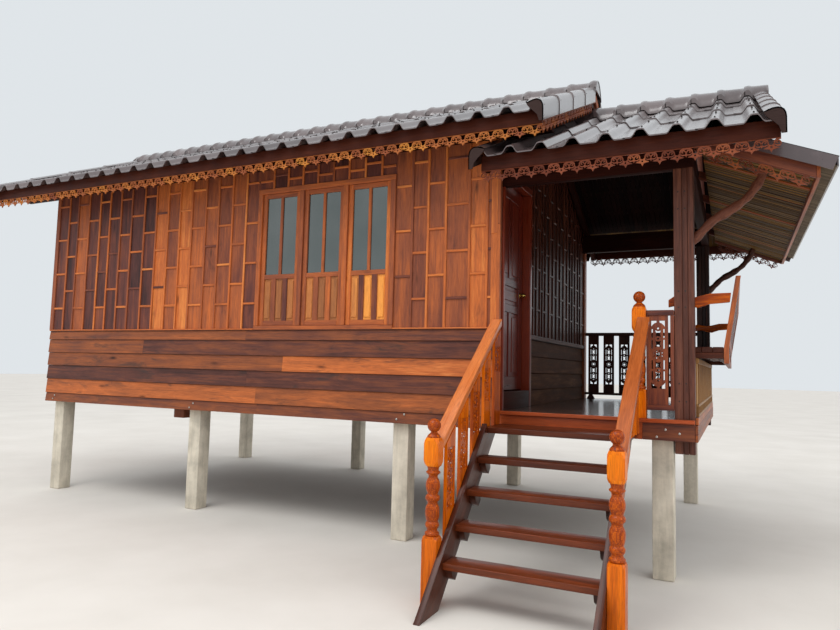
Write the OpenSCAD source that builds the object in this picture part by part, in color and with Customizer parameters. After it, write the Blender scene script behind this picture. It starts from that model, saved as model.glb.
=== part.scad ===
// Timber stilt house: one room and an open porch on square concrete posts, millimetres, +Z up.
// X runs along the front from the room to the porch, Y runs from the front to the back.
// The origin is the middle of the foot of the front left post.

/* [Plan] */
// Length of the room along the front
room_len = 5560; // [5000:10:6200]
// Width of the porch beside the room
porch_len = 1520; // [1400:10:1800]
// Depth of the room and of the porch
depth = 3500; // [3200:10:3900]
// Thickness of the walls
wall_t = 80; // [70:5:100]

/* [Posts] */
// Side of a square concrete post
post_w = 150; // [120:5:170]
// From the room's left corner to the first row of concrete posts
post_in = 105; // [80:1:200]
// Spacing of the first two rows
bay = 2105; // [1900:5:2300]
// From the third row's left face to the room's right corner
post_back = 960; // [700:10:1200]
// Width of a timber post along the front
timber_x = 140; // [110:5:160]
// Depth of a timber post
timber_y = 130; // [100:5:150]
// How far a timber post's foot hangs below the rim beams
foot_drop = 95; // [50:5:120]
// Gap between a wall's timber post and the concrete post of the second row
wall_post_gap = 100; // [60:5:200]

/* [Floor] */
// Height of the floor above the ground
floor_z = 1160; // [1080:10:1300]
// Height from the rim beams' lower edge to the floor
rim_h = 155; // [135:5:180]
// Thickness of a rim beam
rim_t = 60; // [50:5:65]
// Thickness of the floor boards
board_t = 30; // [20:1:40]
// How far the porch boards stand out over the rim beams
nosing = 20; // [10:1:30]
// Height of a joist
joist_h = 50; // [40:5:60]
// Thickness of joists and girders
joist_t = 50; // [40:5:60]
// Spacing of the joists
joist_gap = 500; // [400:10:600]
// Thickness of the skirt boards on the porch's right side
skirt_t = 20; // [15:1:25]
// How far the skirt boards rise above the floor
skirt_up = 16; // [10:1:30]

/* [Walls] */
// Height of the ledge on the lower wall boards above the floor
ledge_h = 665; // [600:5:750]
// How far the panels above the ledge stand back from the boards below it
set_back = 20; // [10:1:30]
// Height of the wall plates' tops above the floor
wall_h = 2368; // [2250:1:2500]
// Height of a wall plate
plate_h = 100; // [80:5:120]
// Height of a porch beam
beam_h = 220; // [160:5:240]
// Thickness of a porch beam
beam_t = 80; // [60:5:100]

/* [Roofs] */
// Slope of the two gable roofs in degrees
pitch = 24.5; // [22:0.5:27]
// Depth of the tiles measured straight down
tile_h = 66; // [60:1:80]
// Distance from one roll of the tiles to the next
roll_gap = 235.2; // [225:0.1:245]
// Depth of the valleys between the tiles' rolls, measured straight down
roll_h = 50; // [35:1:52]
// Depth of a roof batten measured straight down
batten_h = 40; // [30:1:50]
// Width of a roof batten
batten_w = 50; // [40:5:60]
// Spacing of the battens, one for each course of tiles
course = 364; // [340:1:400]
// Depth of a rafter measured straight down
rafter_h = 110; // [90:1:130]
// Thickness of a rafter
rafter_t = 50; // [40:5:60]
// Largest spacing of the rafters
rafter_gap = 900; // [700:10:1100]
// Reach of the room roof past the front wall
eave_out = 450; // [400:10:550]
// Reach of the porch roof past the front wall
porch_eave_out = 490; // [450:10:600]
// Reach of the room roof past its left wall
verge_left = 700; // [500:10:800]
// Reach of the room roof past its right wall
verge_right = 500; // [400:10:600]
// Reach of the porch roof past the porch
porch_verge = 560; // [450:10:600]
// Reach of the porch roof in front of the room
porch_lap = 75; // [60:5:120]
// From the tiles' lower edge back to the fascia
fascia_in = 75; // [50:5:100]
// Thickness of fascias and barge boards
fascia_t = 25; // [20:1:30]
// Height of the room's fascias
fascia_h = 110; // [90:5:130]
// Height of the porch's fascias
porch_fascia_h = 120; // [100:5:140]
// Height of the barge boards measured straight down
barge_h = 100; // [80:5:105]
// Height of the fretwork under eaves and verges
fret_h = 95; // [80:5:105]
// Thickness of the fretwork boards
fret_t = 12; // [8:1:16]
// Length of one repeat of the fretwork
fret_pitch = 117; // [100:1:140]
// Gap between the room's fretwork and the porch's verge cap
porch_gap = 2; // [1:1:60]
// How far the verge caps rise above the tiles
cap_up = 24; // [20:1:26]
// How far the verge caps reach down below the tiles' tops
cap_down = 150; // [110:5:160]
// Width of a verge cap on the tiles
cap_w = 130; // [110:5:160]
// Thickness of a verge cap
cap_t = 30; // [20:1:35]
// Rise of the ridge caps above the tiles' tops
ridge_up = 72; // [60:1:90]
// Half the width of a ridge cap
ridge_half = 150; // [130:5:170]

/* [Awning] */
// Fall of the side awning per metre of reach
awning_fall = 418; // [350:1:450]
// Reach of the awning past the porch
awning_out = 875; // [750:5:1000]
// Reach of the awning past the front wall and past the back wall
awning_side = 170; // [140:5:220]
// Rise of the awning's upper end above the porch tiles' lower face
awning_up = 34; // [20:1:35]
// Depth of the awning's tiles measured straight down
awning_t = 54; // [45:1:65]
// Height of the metal flashing's drop
flashing_h = 105; // [80:5:110]
// Height of the awning's verge boards
verge_board_h = 110; // [90:5:120]
// From the awning's fascia to the tiles' lower edge
awning_drip = 125; // [90:5:150]
// Depth of the awning's rafters measured straight down
awning_rafter_h = 70; // [50:5:90]
// From the awning down to the branch brackets' feet
bracket_h = 810; // [700:10:850]
// Thickness of a branch bracket's foot
bracket_d = 78; // [60:1:84]

/* [Window] */
// From the window frame's right side to the room's right corner
win_right = 970; // [850:10:1100]
// Width of the window frame
win_w = 1550; // [1400:10:1700]
// From the wall plates' tops down to the window frame's top
win_drop = 298; // [250:1:400]
// Width of the frame's posts and rails
frame_w = 50; // [40:5:60]
// How far the window frame stands out of the wall
frame_out = 20; // [10:1:30]
// Thickness of the window leaves
sash_t = 35; // [30:1:40]
// Width of the leaves' stiles and rails
stile = 45; // [35:5:55]
// Height of the panels below the glass
panel_h = 500; // [400:10:600]
// Thickness of the glass
glass_t = 5; // [4:1:6]

/* [Door] */
// Width of the door leaf
leaf_w = 730; // [650:10:800]
// Height of the raised door sill above the floor
sill_h = 155; // [100:5:180]
// Height of the door leaf
leaf_h = 1830; // [1700:10:1900]
// Thickness of the door leaf
leaf_t = 35; // [30:1:45]
// Gap round the door leaf
gap = 8; // [6:1:10]
// Width of the jamb beside the room's corner
jamb_near = 45; // [40:1:60]
// Width of the far jamb and of the head
jamb_far = 60; // [50:1:80]
// How far the door frame stands out of the wall
jamb_out = 30; // [20:1:40]
// Width of the leaf's stiles
door_stile = 110; // [90:5:125]
// Height of the leaf's lower and upper rails
door_rail = 120; // [90:5:130]
// Height of the rails between the leaf's panels
door_bar = 72; // [60:1:80]
// Height of the leaf's lower panels
door_low = 565; // [500:5:600]
// Height of the leaf's middle panel
door_mid = 164; // [140:1:180]
// Depth of the leaf's sunk panels
sunk = 8; // [4:1:10]
// Height of the knobs above the leaf's lower edge
knob_h = 871; // [800:1:950]
// Diameter of the knobs
knob_d = 42; // [36:1:50]
// Diameter of the hinge pins
pin_d = 8; // [6:1:10]
// Outer diameter of the hinge knuckles
knuckle_d = 16; // [15:1:20]
// Height of a hinge
hinge_h = 90; // [80:1:110]
// Spacing of the three hinges
hinge_gap = 720; // [600:10:760]

/* [Stair] */
// From the room's right corner to the middle of the left newel
stair_in = 5; // [0:1:20]
// Distance between the middles of the lower newels
stair_w = 1145; // [1080:5:1150]
// Side of a newel post
newel_w = 100; // [80:1:110]
// Height of the lower newels' square feet
newel_low = 425; // [380:5:460]
// Height of the top newel's square foot
newel_top_low = 209; // [180:1:240]
// Height of a newel's turned part
turned_h = 437; // [400:1:470]
// Height of a newel's upper block
newel_up = 181; // [160:1:200]
// Rise from tread to tread
rise = 196; // [180:1:210]
// Run from tread to tread
run = 200; // [190:1:230]
// Rise from the top tread to the floor
last_rise = 102; // [90:1:150]
// Depth of a tread
tread_d = 185; // [160:1:195]
// Depth of the top tread
landing_d = 440; // [400:5:480]
// Thickness of a tread
tread_t = 40; // [30:1:50]
// Thickness of a stringer
stringer_t = 40; // [30:1:50]
// Height of a stringer measured straight up
stringer_h = 266; // [240:1:300]
// Height of the handrails' upper ends above the floor
rail_top = 745; // [700:5:800]
// Height of the handrails' lower ends above the ground
rail_foot = 1020; // [980:5:1040]
// Width of a handrail
rail_w = 90; // [70:5:100]
// Height of a handrail measured straight up
rail_h = 60; // [45:1:70]
// Width of a fret-cut slat on the stair
slat_w = 140; // [120:5:150]
// Spacing of the slats on the stair
slat_gap = 230; // [210:5:260]
// Thickness of all fret-cut slats
slat_t = 22; // [15:1:25]

/* [Porch] */
// Height of the porch railings above the floor
railing_h = 840; // [780:5:900]
// Height of the bench seat above the floor
seat_h = 535; // [450:5:560]
// Thickness of the bench seat
seat_t = 85; // [60:5:95]
// Reach of the seat past the porch's right side
seat_out = 170; // [120:5:200]
// Reach of the seat into the porch
seat_in = 210; // [190:5:300]
// Height of the bench back above the seat
back_h = 525; // [450:5:600]
// Lean of the bench back
back_lean = 85; // [50:5:120]
// Thickness of the bench back
back_t = 32; // [25:1:40]
// Height of the bench arms above the seat, at their ends
arm_h = 330; // [300:5:360]
// Thickness of the bench arms
arm_t = 35; // [25:1:45]
// Width of the railing's slats
baluster_w = 130; // [110:5:140]
// Spacing of the railing's slats
baluster_gap = 190; // [170:5:220]

/* [Hidden] */
seat = 0.3;
tan_p = tan(pitch);
mid_y = depth / 2;
end_x = room_len + porch_len;
rim_z = floor_z - rim_h;
under_z = floor_z - board_t;
porch_drop = tile_h + fascia_h + fret_h + cap_up + porch_gap + (fascia_t + fret_t) / 2 * tan_p;
stack_h = tile_h + batten_h + rafter_h;
plate_z = floor_z + wall_h;
wall_top = plate_z - plate_h;
ridge_z = plate_z + stack_h + (mid_y - wall_t) * tan_p;
porch_ridge = ridge_z - porch_drop;
sill_z = floor_z + ledge_h;
timber_r = end_x - skirt_t;
timber_l = timber_r - timber_x;
timber_b = rim_t + timber_y;
beam_b = rim_t + beam_t;
beam_top = porch_ridge - stack_h - (mid_y - beam_b) * tan_p;
row_x = [post_in, post_in + bay, room_len - post_back, timber_l - 10 - post_w];
wall_post_x = row_x[1] - wall_post_gap - timber_x;
girder_x = [row_x[0] + post_w, row_x[1] + post_w, row_x[2] + post_w, row_x[3] - joist_t];
win_l = room_len - win_right - win_w;
win_r = room_len - win_right;
win_top = plate_z - win_drop;
win_low = sill_z + frame_w - 10;
sash_w = (win_w - 4 * frame_w) / 3;
sash_h = win_top - frame_w - win_low;
light_w = (sash_w - 2 * stile - 30) / 2;
door_y = wall_t + jamb_near;
door_end = door_y + leaf_w + 2 * gap;
door_z = floor_z + sill_h;
door_top = door_z + leaf_h + gap;
leaf_x = room_len - wall_t;
hinge_x = leaf_x - 8;
hinge_y = door_y + gap / 2;
stair_l = room_len + stair_in;
stair_r = stair_l + stair_w;
newel_top_x = stair_r - 35;
newel_top_y = newel_w / 2 + 5;
nose_y = -landing_d - 4 * run;
newel_y = nose_y + 35;
tread_z = floor_z - last_rise - 4 * rise;
tread_l = stair_l + newel_w / 2 + stringer_t;
tread_r = stair_r - newel_w / 2 - stringer_t;
rail_y = newel_y + newel_w / 2;
seat_z = floor_z + seat_h;
knob_out = jamb_near + gap / 2 + 2 - knob_d / 2;

// Shifts house coordinates, whose zero is the room's front left corner, to the shared origin.
module place() {
    translate([-post_in - post_w / 2, -rim_t - post_w / 2, 0]) children();
}

// Box from two opposite corners.
module block(a, b) {
    translate(a) cube(b - a);
}

// Outline in Y and Z pushed along X from x0 to x1.
module along_x(x0, x1, points) {
    translate([x0, 0, 0]) rotate([90, 0, 90]) linear_extrude(height = x1 - x0) polygon(points);
}

// Outline in X and Z pushed along Y from y0 to y1.
module along_y(y0, y1, points) {
    translate([0, y1, 0]) rotate([90, 0, 0]) linear_extrude(height = y1 - y0) polygon(points);
}

// The same piece at the front and, mirrored, at the back.
module both_sides() {
    children();
    translate([0, depth, 0]) mirror([0, 1, 0]) children();
}

// Height of a gable roof's crest line at a distance from the front wall.
function crest(top, y) = top - abs(mid_y - y) * tan_p;

// Strip that follows the front slope between y0 and y1, from up to low below the crest line.
function strip(top, y0, y1, up, low) = [
    [y0, crest(top, y0) - up], [y1, crest(top, y1) - up],
    [y1, crest(top, y1) - low], [y0, crest(top, y0) - low]];

// Evenly spaced places from a to b, no further apart than the gap.
function places(a, b, gap) = let (n = ceil((b - a) / gap)) [for (i = [0:n]) a + (b - a) * i / n];

module posts() {
    color("silver") place() both_sides() for (x = row_x)
        block([x, rim_t, 0], [x + post_w, rim_t + post_w, under_z]);
}

module wall_posts() {
    color("chocolate") place() both_sides()
        block([wall_post_x, wall_t + seat, rim_z - foot_drop],
            [wall_post_x + timber_x, wall_t + timber_y, wall_top]);
}

module girders() {
    color("saddlebrown") place() for (x = girder_x)
        block([x, rim_t, rim_z], [x + joist_t, depth - rim_t, under_z - joist_h]);
}

module joists() {
    color("saddlebrown") place() for (y = places(timber_b + 60, depth - timber_b - 60, joist_gap))
        block([rim_t, y - joist_t / 2, under_z - joist_h], [timber_l, y + joist_t / 2, under_z]);
}

module rims_long() {
    color("sienna") place() both_sides()
        block([0, 0, rim_z], [end_x, rim_t, under_z]);
}

module rims_end() {
    color("sienna") place() {
        block([0, rim_t, rim_z], [rim_t, depth - rim_t, under_z]);
        block([timber_r - rim_t, timber_b, rim_z], [timber_r - seat, depth - timber_b, under_z]);
        block([timber_r, rim_t, rim_z], [end_x, depth - rim_t, floor_z + skirt_up]);
    }
}

module room_floor() {
    color("peru") place() difference() {
        block([0, 0, under_z], [room_len - wall_t, depth, floor_z]);
        both_sides() block([wall_post_x - seat, wall_t, under_z - 1],
            [wall_post_x + timber_x + seat, wall_t + timber_y + seat, floor_z + 1]);
    }
}

module porch_floor() {
    color("peru") place() difference() {
        block([room_len - wall_t, -nosing, under_z], [timber_r, depth + nosing, floor_z]);
        both_sides() {
            block([timber_l - seat, rim_t - seat, under_z - 1],
                [end_x, timber_b + seat, floor_z + 1]);
            block([room_len - wall_t - 1, -nosing - 1, under_z - 1], [room_len, 0, floor_z + 1]);
        }
    }
}

module front_wall_lower() {
    color("brown") place() block([0, 0, floor_z], [room_len, wall_t, sill_z]);
}

module front_wall_sides() {
    color("brown") place() {
        block([0, set_back, sill_z], [win_l, wall_t, wall_top]);
        block([win_r, set_back, sill_z], [room_len, wall_t, wall_top]);
    }
}

module front_wall_head() {
    color("brown") place() block([win_l, set_back, win_top], [win_r, wall_t, wall_top]);
}

// Gable wall under the battens from y0 to y1 with its foot at z0.
module gable(x0, x1, y0, y1, top, z0) {
    low = tile_h + batten_h + seat;
    along_x(x0, x1, [[y0, z0], [y1, z0], [y1, crest(top, y1) - low],
        [mid_y, top - low], [y0, crest(top, y0) - low]]);
}

module left_wall() {
    color("brown") place() gable(0, wall_t, wall_t, depth - wall_t, ridge_z, floor_z);
}

module back_wall() {
    color("brown") place() block([0, depth - wall_t, floor_z], [room_len, depth, wall_top]);
}

module right_wall_rear() {
    color("brown") place() gable(leaf_x, room_len, door_end + jamb_far, depth - wall_t,
        ridge_z, floor_z);
}

module right_wall_head() {
    color("brown") place() along_x(leaf_x, room_len, [
        [wall_t, door_top + jamb_far], [door_end + jamb_far, door_top + jamb_far],
        [door_end + jamb_far, crest(ridge_z, door_end + jamb_far) - tile_h - batten_h - seat],
        [wall_t, crest(ridge_z, wall_t) - tile_h - batten_h - seat]]);
}

module wall_plates() {
    color("saddlebrown") place() both_sides() difference() {
        block([cap_t + fascia_t - verge_left, set_back, wall_top],
            [room_len + verge_right - cap_t - fascia_t, wall_t, plate_z]);
        block([room_len, 0, wall_top - 1], [room_len + verge_right, wall_t + 1,
            max(wall_top, crest(porch_ridge, wall_t)) + seat]);
    }
}

module window_frame() {
    color("chocolate") place() difference() {
        block([win_l, set_back - frame_out, sill_z], [win_r, wall_t, win_top]);
        for (i = [0:2])
            block([win_l + frame_w + i * (sash_w + frame_w), set_back - frame_out - 1, win_low],
                [win_l + (i + 1) * (sash_w + frame_w), wall_t + 1, win_low + sash_h]);
    }
}

// Places a piece at the lower left corner of each window leaf.
module at_leaves() {
    for (i = [0:2]) translate([win_l + frame_w + i * (sash_w + frame_w), set_back, win_low])
        children();
}

module window_leaves() {
    color("peru") place() at_leaves() difference() {
        translate([seat, 0, seat]) cube([sash_w - 2 * seat, sash_t, sash_h - 2 * seat]);
        for (k = [0, 1])
            translate([stile + k * (light_w + 30), -1, panel_h])
                cube([light_w, sash_t + 2, sash_h - panel_h - stile]);
        for (k = [0:2])
            translate([stile + k * (sash_w - 2 * stile + 30) / 3, -1, stile])
                cube([(sash_w - 2 * stile - 60) / 3, 1 + sash_t / 4, panel_h - 2 * stile]);
    }
}

module window_glass() {
    color("lightblue") place() at_leaves() for (k = [0, 1])
        translate([stile + k * (light_w + 30) + seat, sash_t / 2, panel_h + seat])
            cube([light_w - 2 * seat, glass_t, sash_h - panel_h - stile - 2 * seat]);
}

module door_frame() {
    color("chocolate") place() {
        block([leaf_x, wall_t, floor_z], [room_len + jamb_out, door_y, door_top - seat]);
        block([leaf_x, door_end, floor_z],
            [room_len + jamb_out, door_end + jamb_far, door_top - seat]);
        block([leaf_x, wall_t, door_top],
            [room_len + jamb_out, door_end + jamb_far, door_top + jamb_far]);
    }
}

module door_sill() {
    color("dimgray") place() block([leaf_x, door_y, floor_z],
        [room_len + jamb_out, door_end, door_z - gap]);
}

// Lower edges, heights and number of the sunk panels in the door leaf.
mid_z = door_rail + door_low + door_bar;
high_z = mid_z + door_mid + door_bar;
panel_rows = [[door_rail, door_low, 2], [mid_z, door_mid, 1],
    [high_z, leaf_h - door_rail - high_z, 2]];

module door_leaf() {
    inner = leaf_w - 2 * door_stile;
    color("maroon") place() translate([leaf_x, door_y + gap, door_z]) difference() {
        cube([leaf_t, leaf_w, leaf_h]);
        for (r = panel_rows) for (k = [0:r[2] - 1]) for (x = [-1, leaf_t - sunk])
            translate([x, door_stile + k * (inner + 70) / 2, r[0]])
                cube([sunk + 1, r[2] == 1 ? inner : (inner - 70) / 2, r[1]]);
    }
}

module door_knobs() {
    color("gold") place() for (s = [0, 1])
        translate([s == 0 ? leaf_x : leaf_x + leaf_t, door_y + gap + leaf_w - 65, door_z + knob_h])
            rotate([0, s == 0 ? -90 : 90, 0]) {
                cylinder(h = knob_out, d = 20);
                translate([0, 0, knob_out]) sphere(d = knob_d);
                cylinder(h = 5, d = knob_d + 16);
            }
}

// Heights of the lower ends of the three hinges.
function hinge_z(i) = door_z + 150 + i * hinge_gap;
knuckle_h = hinge_h / 3 - 6;

module hinge_pins() {
    color("gray") place() for (i = [0:2]) translate([hinge_x, hinge_y, hinge_z(i)]) {
        cylinder(h = hinge_h, d = pin_d);
        for (z = [0, hinge_h - knuckle_h]) translate([0, 0, z]) {
            cylinder(h = knuckle_h, d = knuckle_d);
            block([knuckle_d / 2 - 3, -jamb_near, 0], [leaf_x - hinge_x, 0, knuckle_h]);
        }
        block([knuckle_d / 2 - 3, -jamb_near, 0], [leaf_x - hinge_x, -knuckle_d / 2 - 1, hinge_h]);
    }
}

module hinge_sleeves() {
    sleeve_h = hinge_h - 2 * knuckle_h - 1;
    color("gray") place() for (i = [0:2])
        translate([hinge_x, hinge_y, hinge_z(i) + knuckle_h + 0.5]) difference() {
            union() {
                cylinder(h = sleeve_h, d = knuckle_d);
                block([knuckle_d / 2 - 3, 0, 0], [leaf_x - hinge_x, 50, sleeve_h]);
            }
            translate([0, 0, -1]) cylinder(h = sleeve_h + 2, d = pin_d + 0.1);
        }
}

module porch_posts() {
    color("sienna") place() both_sides()
        block([timber_l, rim_t, rim_z - foot_drop], [timber_r, timber_b, beam_top - beam_h]);
}

module porch_beams() {
    color("saddlebrown") place() difference() {
        both_sides() block([room_len, rim_t, beam_top - beam_h], [timber_r, beam_b, beam_top]);
        block([room_len - 1, wall_t - seat, floor_z],
            [room_len + jamb_out + seat, beam_b + 1, door_top + jamb_far + seat]);
    }
}

module porch_tie() {
    color("saddlebrown") place()
        block([timber_r - 80, beam_b, beam_top - beam_h], [timber_r, depth - beam_b, beam_top]);
}

module porch_gable() {
    low = tile_h + batten_h + seat;
    color("brown") place() along_x(timber_r - 50, timber_r - 25, [
        [beam_b, beam_top], [depth - beam_b, beam_top],
        [depth - beam_b, crest(porch_ridge, beam_b) - low],
        [mid_y, porch_ridge - low], [beam_b, crest(porch_ridge, beam_b) - low]]);
}

// Rafter of the front slope, notched over the plate from ya to yb with its top at z1.
module rafter(x, top, y0, ya, yb, z1) {
    up = tile_h + batten_h + seat;
    along_x(x, x + rafter_t, [
        [y0, crest(top, y0) - up], [mid_y - seat, crest(top, mid_y - seat) - up],
        [mid_y - seat, crest(top, mid_y - seat) - stack_h], [yb, z1 + seat],
        [ya - seat, z1 + seat], [ya - seat, crest(top, ya - seat) - stack_h],
        [y0, crest(top, y0) - stack_h]]);
}

module rafters() {
    inner = places(wall_t + 20, leaf_x - rafter_t - 20, rafter_gap);
    outer = [cap_t + fascia_t - verge_left, room_len + verge_right - cap_t - fascia_t - rafter_t];
    color("saddlebrown") place() both_sides() for (x = concat(outer, inner))
        rafter(x, ridge_z, fascia_in + fascia_t - eave_out, set_back, wall_t, plate_z);
}

module porch_rafters() {
    color("saddlebrown") place() both_sides() for (x = [room_len + 20, timber_r - 50 - rafter_t])
        rafter(x, porch_ridge, fascia_in + fascia_t - porch_eave_out, rim_t, beam_b, beam_top);
}

// Battens of one slope from x0 to x1, from behind the fascia up to the ridge.
module batten_row(x0, x1, top, y0) {
    for (y = [y0 + 5:course:mid_y - batten_w - 5])
        along_x(x0, x1, strip(top, y, y + batten_w, tile_h + seat, tile_h + batten_h));
}

module battens() {
    color("burlywood") place() both_sides() {
        batten_row(cap_t + fascia_t - verge_left, room_len + verge_right - cap_t - fascia_t,
            ridge_z, fascia_in + fascia_t - eave_out);
        batten_row(room_len, timber_r, porch_ridge, fascia_in + fascia_t - porch_eave_out);
    }
}

// Half outline of a valley between two rolls: share of the spacing, and share of the depth.
valley = [[0.44, -0.1], [0.44, 0], [0.38, 0.16], [0.28, 0.84], [0.22, 1]];

// Valleys that fit between x0 and x1, cut up one slope from the eave at y0 to the ridge cap.
module valleys(x0, x1, top, y0) {
    length = (mid_y - ridge_half - 12 - y0) / cos(pitch);
    side = [for (p = valley) [p[0] * roll_gap, -p[1] * roll_h * cos(pitch)]];
    n = floor((x1 - x0) / roll_gap - 2 * valley[0][0]);
    for (i = [0:n])
        translate([x0 + (i + valley[0][0]) * roll_gap, y0, crest(top, y0)]) rotate([90 + pitch, 0, 0])
            translate([0, 0, -length]) linear_extrude(height = length + 2 * tile_h)
                polygon(concat(side, [for (k = [len(side) - 1:-1:0]) [-side[k][0], side[k][1]]]));
}

module main_roof() {
    color("dimgray") place() both_sides() difference() {
        along_x(cap_t - verge_left, room_len + verge_right - cap_t,
            strip(ridge_z, -eave_out, mid_y - 5, 0, tile_h));
        valleys(cap_w + 3 - verge_left, room_len + verge_right - cap_w, ridge_z, -eave_out);
    }
}

module porch_roof() {
    color("dimgray") place() both_sides() {
        difference() {
            along_x(room_len, end_x + porch_verge - cap_t,
                strip(porch_ridge, -porch_eave_out, mid_y - 5, 0, tile_h));
            valleys(room_len + 28, end_x + porch_verge - cap_w, porch_ridge, -porch_eave_out);
        }
        along_x(room_len - porch_lap + cap_t, room_len + 1,
            strip(porch_ridge, -porch_eave_out, 0, 0, tile_h));
    }
}

// Height of the awning's upper face at a reach past the porch.
awning_z = crest(porch_ridge, -awning_side) - tile_h + awning_up;
function awn(x) = awning_z - x * awning_fall / 1000;

// Outline in X and Z that follows the awning from x0 to x1, from up to low below its upper face.
function slope(x0, x1, up, low) = [
    [end_x + x0, awn(x0) - up], [end_x + x1, awn(x1) - up],
    [end_x + x1, awn(x1) - low], [end_x + x0, awn(x0) - low]];

// Reach at which the awning's upper face comes clear of the porch tiles' lower face.
awning_in = (awning_up - cap_t * tan_p + seat) * 1000 / awning_fall;

module awning_roof() {
    color("dimgray") place() along_y(cap_t - awning_side, depth + awning_side - cap_t,
        slope(awning_in, awning_out, 0, awning_t));
}

// Ridge cap from x0 to x1 over the crest line.
module ridge_cap(x0, x1, top) {
    foot = crest(top, mid_y - ridge_half) + seat;
    along_x(x0, x1, [
        [mid_y - ridge_half, foot], [mid_y, top + seat], [mid_y + ridge_half, foot],
        [mid_y + ridge_half, foot + 25], [mid_y + 50, top + ridge_up - 12],
        [mid_y + 25, top + ridge_up], [mid_y - 25, top + ridge_up],
        [mid_y - 50, top + ridge_up - 12], [mid_y - ridge_half, foot + 25]]);
}

module ridge_caps() {
    color("gray") place() {
        ridge_cap(-verge_left, room_len + verge_right, ridge_z);
        ridge_cap(room_len, end_x + porch_verge, porch_ridge);
    }
}

// Cap along a verge, from the eave at y0 up to y1, with its drop at x_out and its foot inward.
module verge_cap(x_out, dir, top, y0, y1) {
    x_in = x_out - dir * cap_w;
    x_drop = x_out - dir * (cap_t - seat);
    along_x(min(x_in, x_out), max(x_in, x_out), strip(top, y0, y1, -cap_up, -seat));
    along_x(min(x_drop, x_out), max(x_drop, x_out), strip(top, y0, y1, -cap_up, cap_down));
}

module verge_caps() {
    y1 = mid_y - ridge_half - 2;
    color("gray") place() both_sides() {
        verge_cap(-verge_left, -1, ridge_z, -eave_out - 10, y1);
        verge_cap(room_len + verge_right, 1, ridge_z, -eave_out - 10, y1);
        verge_cap(end_x + porch_verge, 1, porch_ridge, -porch_eave_out - 10, y1);
        verge_cap(room_len - porch_lap, -1, porch_ridge, -porch_eave_out - 10, -seat);
    }
}

// Place along the awning's verge where the flashing clears the porch tiles.
flash_x = 125;

module awning_caps() {
    color("gray") place() both_sides() {
        along_y(-awning_side, 110 - awning_side, slope(flash_x, awning_out, -8, -seat));
        along_y(-awning_side, cap_t - seat - awning_side, [
            [end_x + flash_x, awn(flash_x) + 8], [end_x + awning_out, awn(awning_out) + 8],
            [end_x + awning_out - 38, awn(awning_out - 38) - flashing_h + 8],
            [end_x + flash_x, awn(flash_x) - flashing_h + 8]]);
    }
}

module fascias() {
    color("maroon") place() both_sides() {
        y = fascia_in - eave_out;
        z = crest(ridge_z, y) - tile_h - seat;
        block([cap_t - verge_left, y, z - fascia_h],
            [room_len + verge_right - cap_t, y + fascia_t, z]);
        py = fascia_in - porch_eave_out;
        pz = crest(porch_ridge, py) - tile_h - seat;
        block([room_len, py, pz - porch_fascia_h], [end_x + porch_verge - cap_t, py + fascia_t, pz]);
    }
}

// Board under one slope of a verge, behind the fascia.
module barge(x, top, eave) {
    along_x(x, x + fascia_t - seat, strip(top, fascia_in + fascia_t - eave, mid_y - seat,
        tile_h + seat, tile_h + barge_h));
}

module barge_boards() {
    color("maroon") place() both_sides() {
        barge(cap_t - verge_left, ridge_z, eave_out);
        barge(room_len + verge_right - cap_t - fascia_t + seat, ridge_z, eave_out);
        barge(end_x + porch_verge - cap_t - fascia_t + seat, porch_ridge, porch_eave_out);
    }
}

// Outline of a fretwork board from a0 to a1: a top edge that starts at z and climbs with the
// slope s, and a lower edge with one hanging point for each repeat.
function fret(a0, a1, z, s) = let (n = round((a1 - a0) / fret_pitch), p = (a1 - a0) / n) concat(
    [[a0, z], [a1, z + s * (a1 - a0)]],
    [for (i = [n - 1:-1:0]) for (q = [[1, 0.55], [0.72, 0.62], [0.6, 0.78], [0.5, 1],
        [0.4, 0.78], [0.28, 0.62]])
        let (a = (i + q[0]) * p) [a0 + a, z + s * a - fret_h * q[1]]],
    [[a0, z - fret_h * 0.55]]);

module fretwork() {
    y = fascia_in - eave_out + (fascia_t - fret_t) / 2;
    z = crest(ridge_z, fascia_in - eave_out) - tile_h - fascia_h - 2 * seat;
    py = fascia_in - porch_eave_out + (fascia_t - fret_t) / 2;
    pz = crest(porch_ridge, fascia_in - porch_eave_out) - tile_h - porch_fascia_h - 2 * seat;
    vy = fascia_in + fascia_t - eave_out + 1;
    vz = crest(ridge_z, vy) - tile_h - barge_h - seat;
    color("peru") place() both_sides() {
        along_y(y, y + fret_t, fret(cap_t - verge_left, room_len + verge_right - cap_t, z, 0));
        along_y(py, py + fret_t, fret(room_len, end_x + porch_verge - cap_t, pz, 0));
        along_x(cap_t + 6 - verge_left, cap_t + 6 - verge_left + fret_t,
            fret(vy, mid_y - seat, vz, tan_p));
        along_x(room_len + verge_right - cap_t - 6 - fret_t, room_len + verge_right - cap_t - 6,
            fret(vy, mid_y - ridge_half - 5, vz, tan_p));
        along_y(frame_y, frame_y + fret_t, fret(end_x + 70, end_x + frame_x - 40,
            awn(70) - board_low - seat, -awning_fall / 1000));
    }
}

// Reach of the awning's fascia, place of its verge boards and depth of their lower edges.
frame_x = awning_out - awning_drip;
frame_y = 20 - awning_side + cap_t;
board_low = awning_t + verge_board_h;

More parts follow.
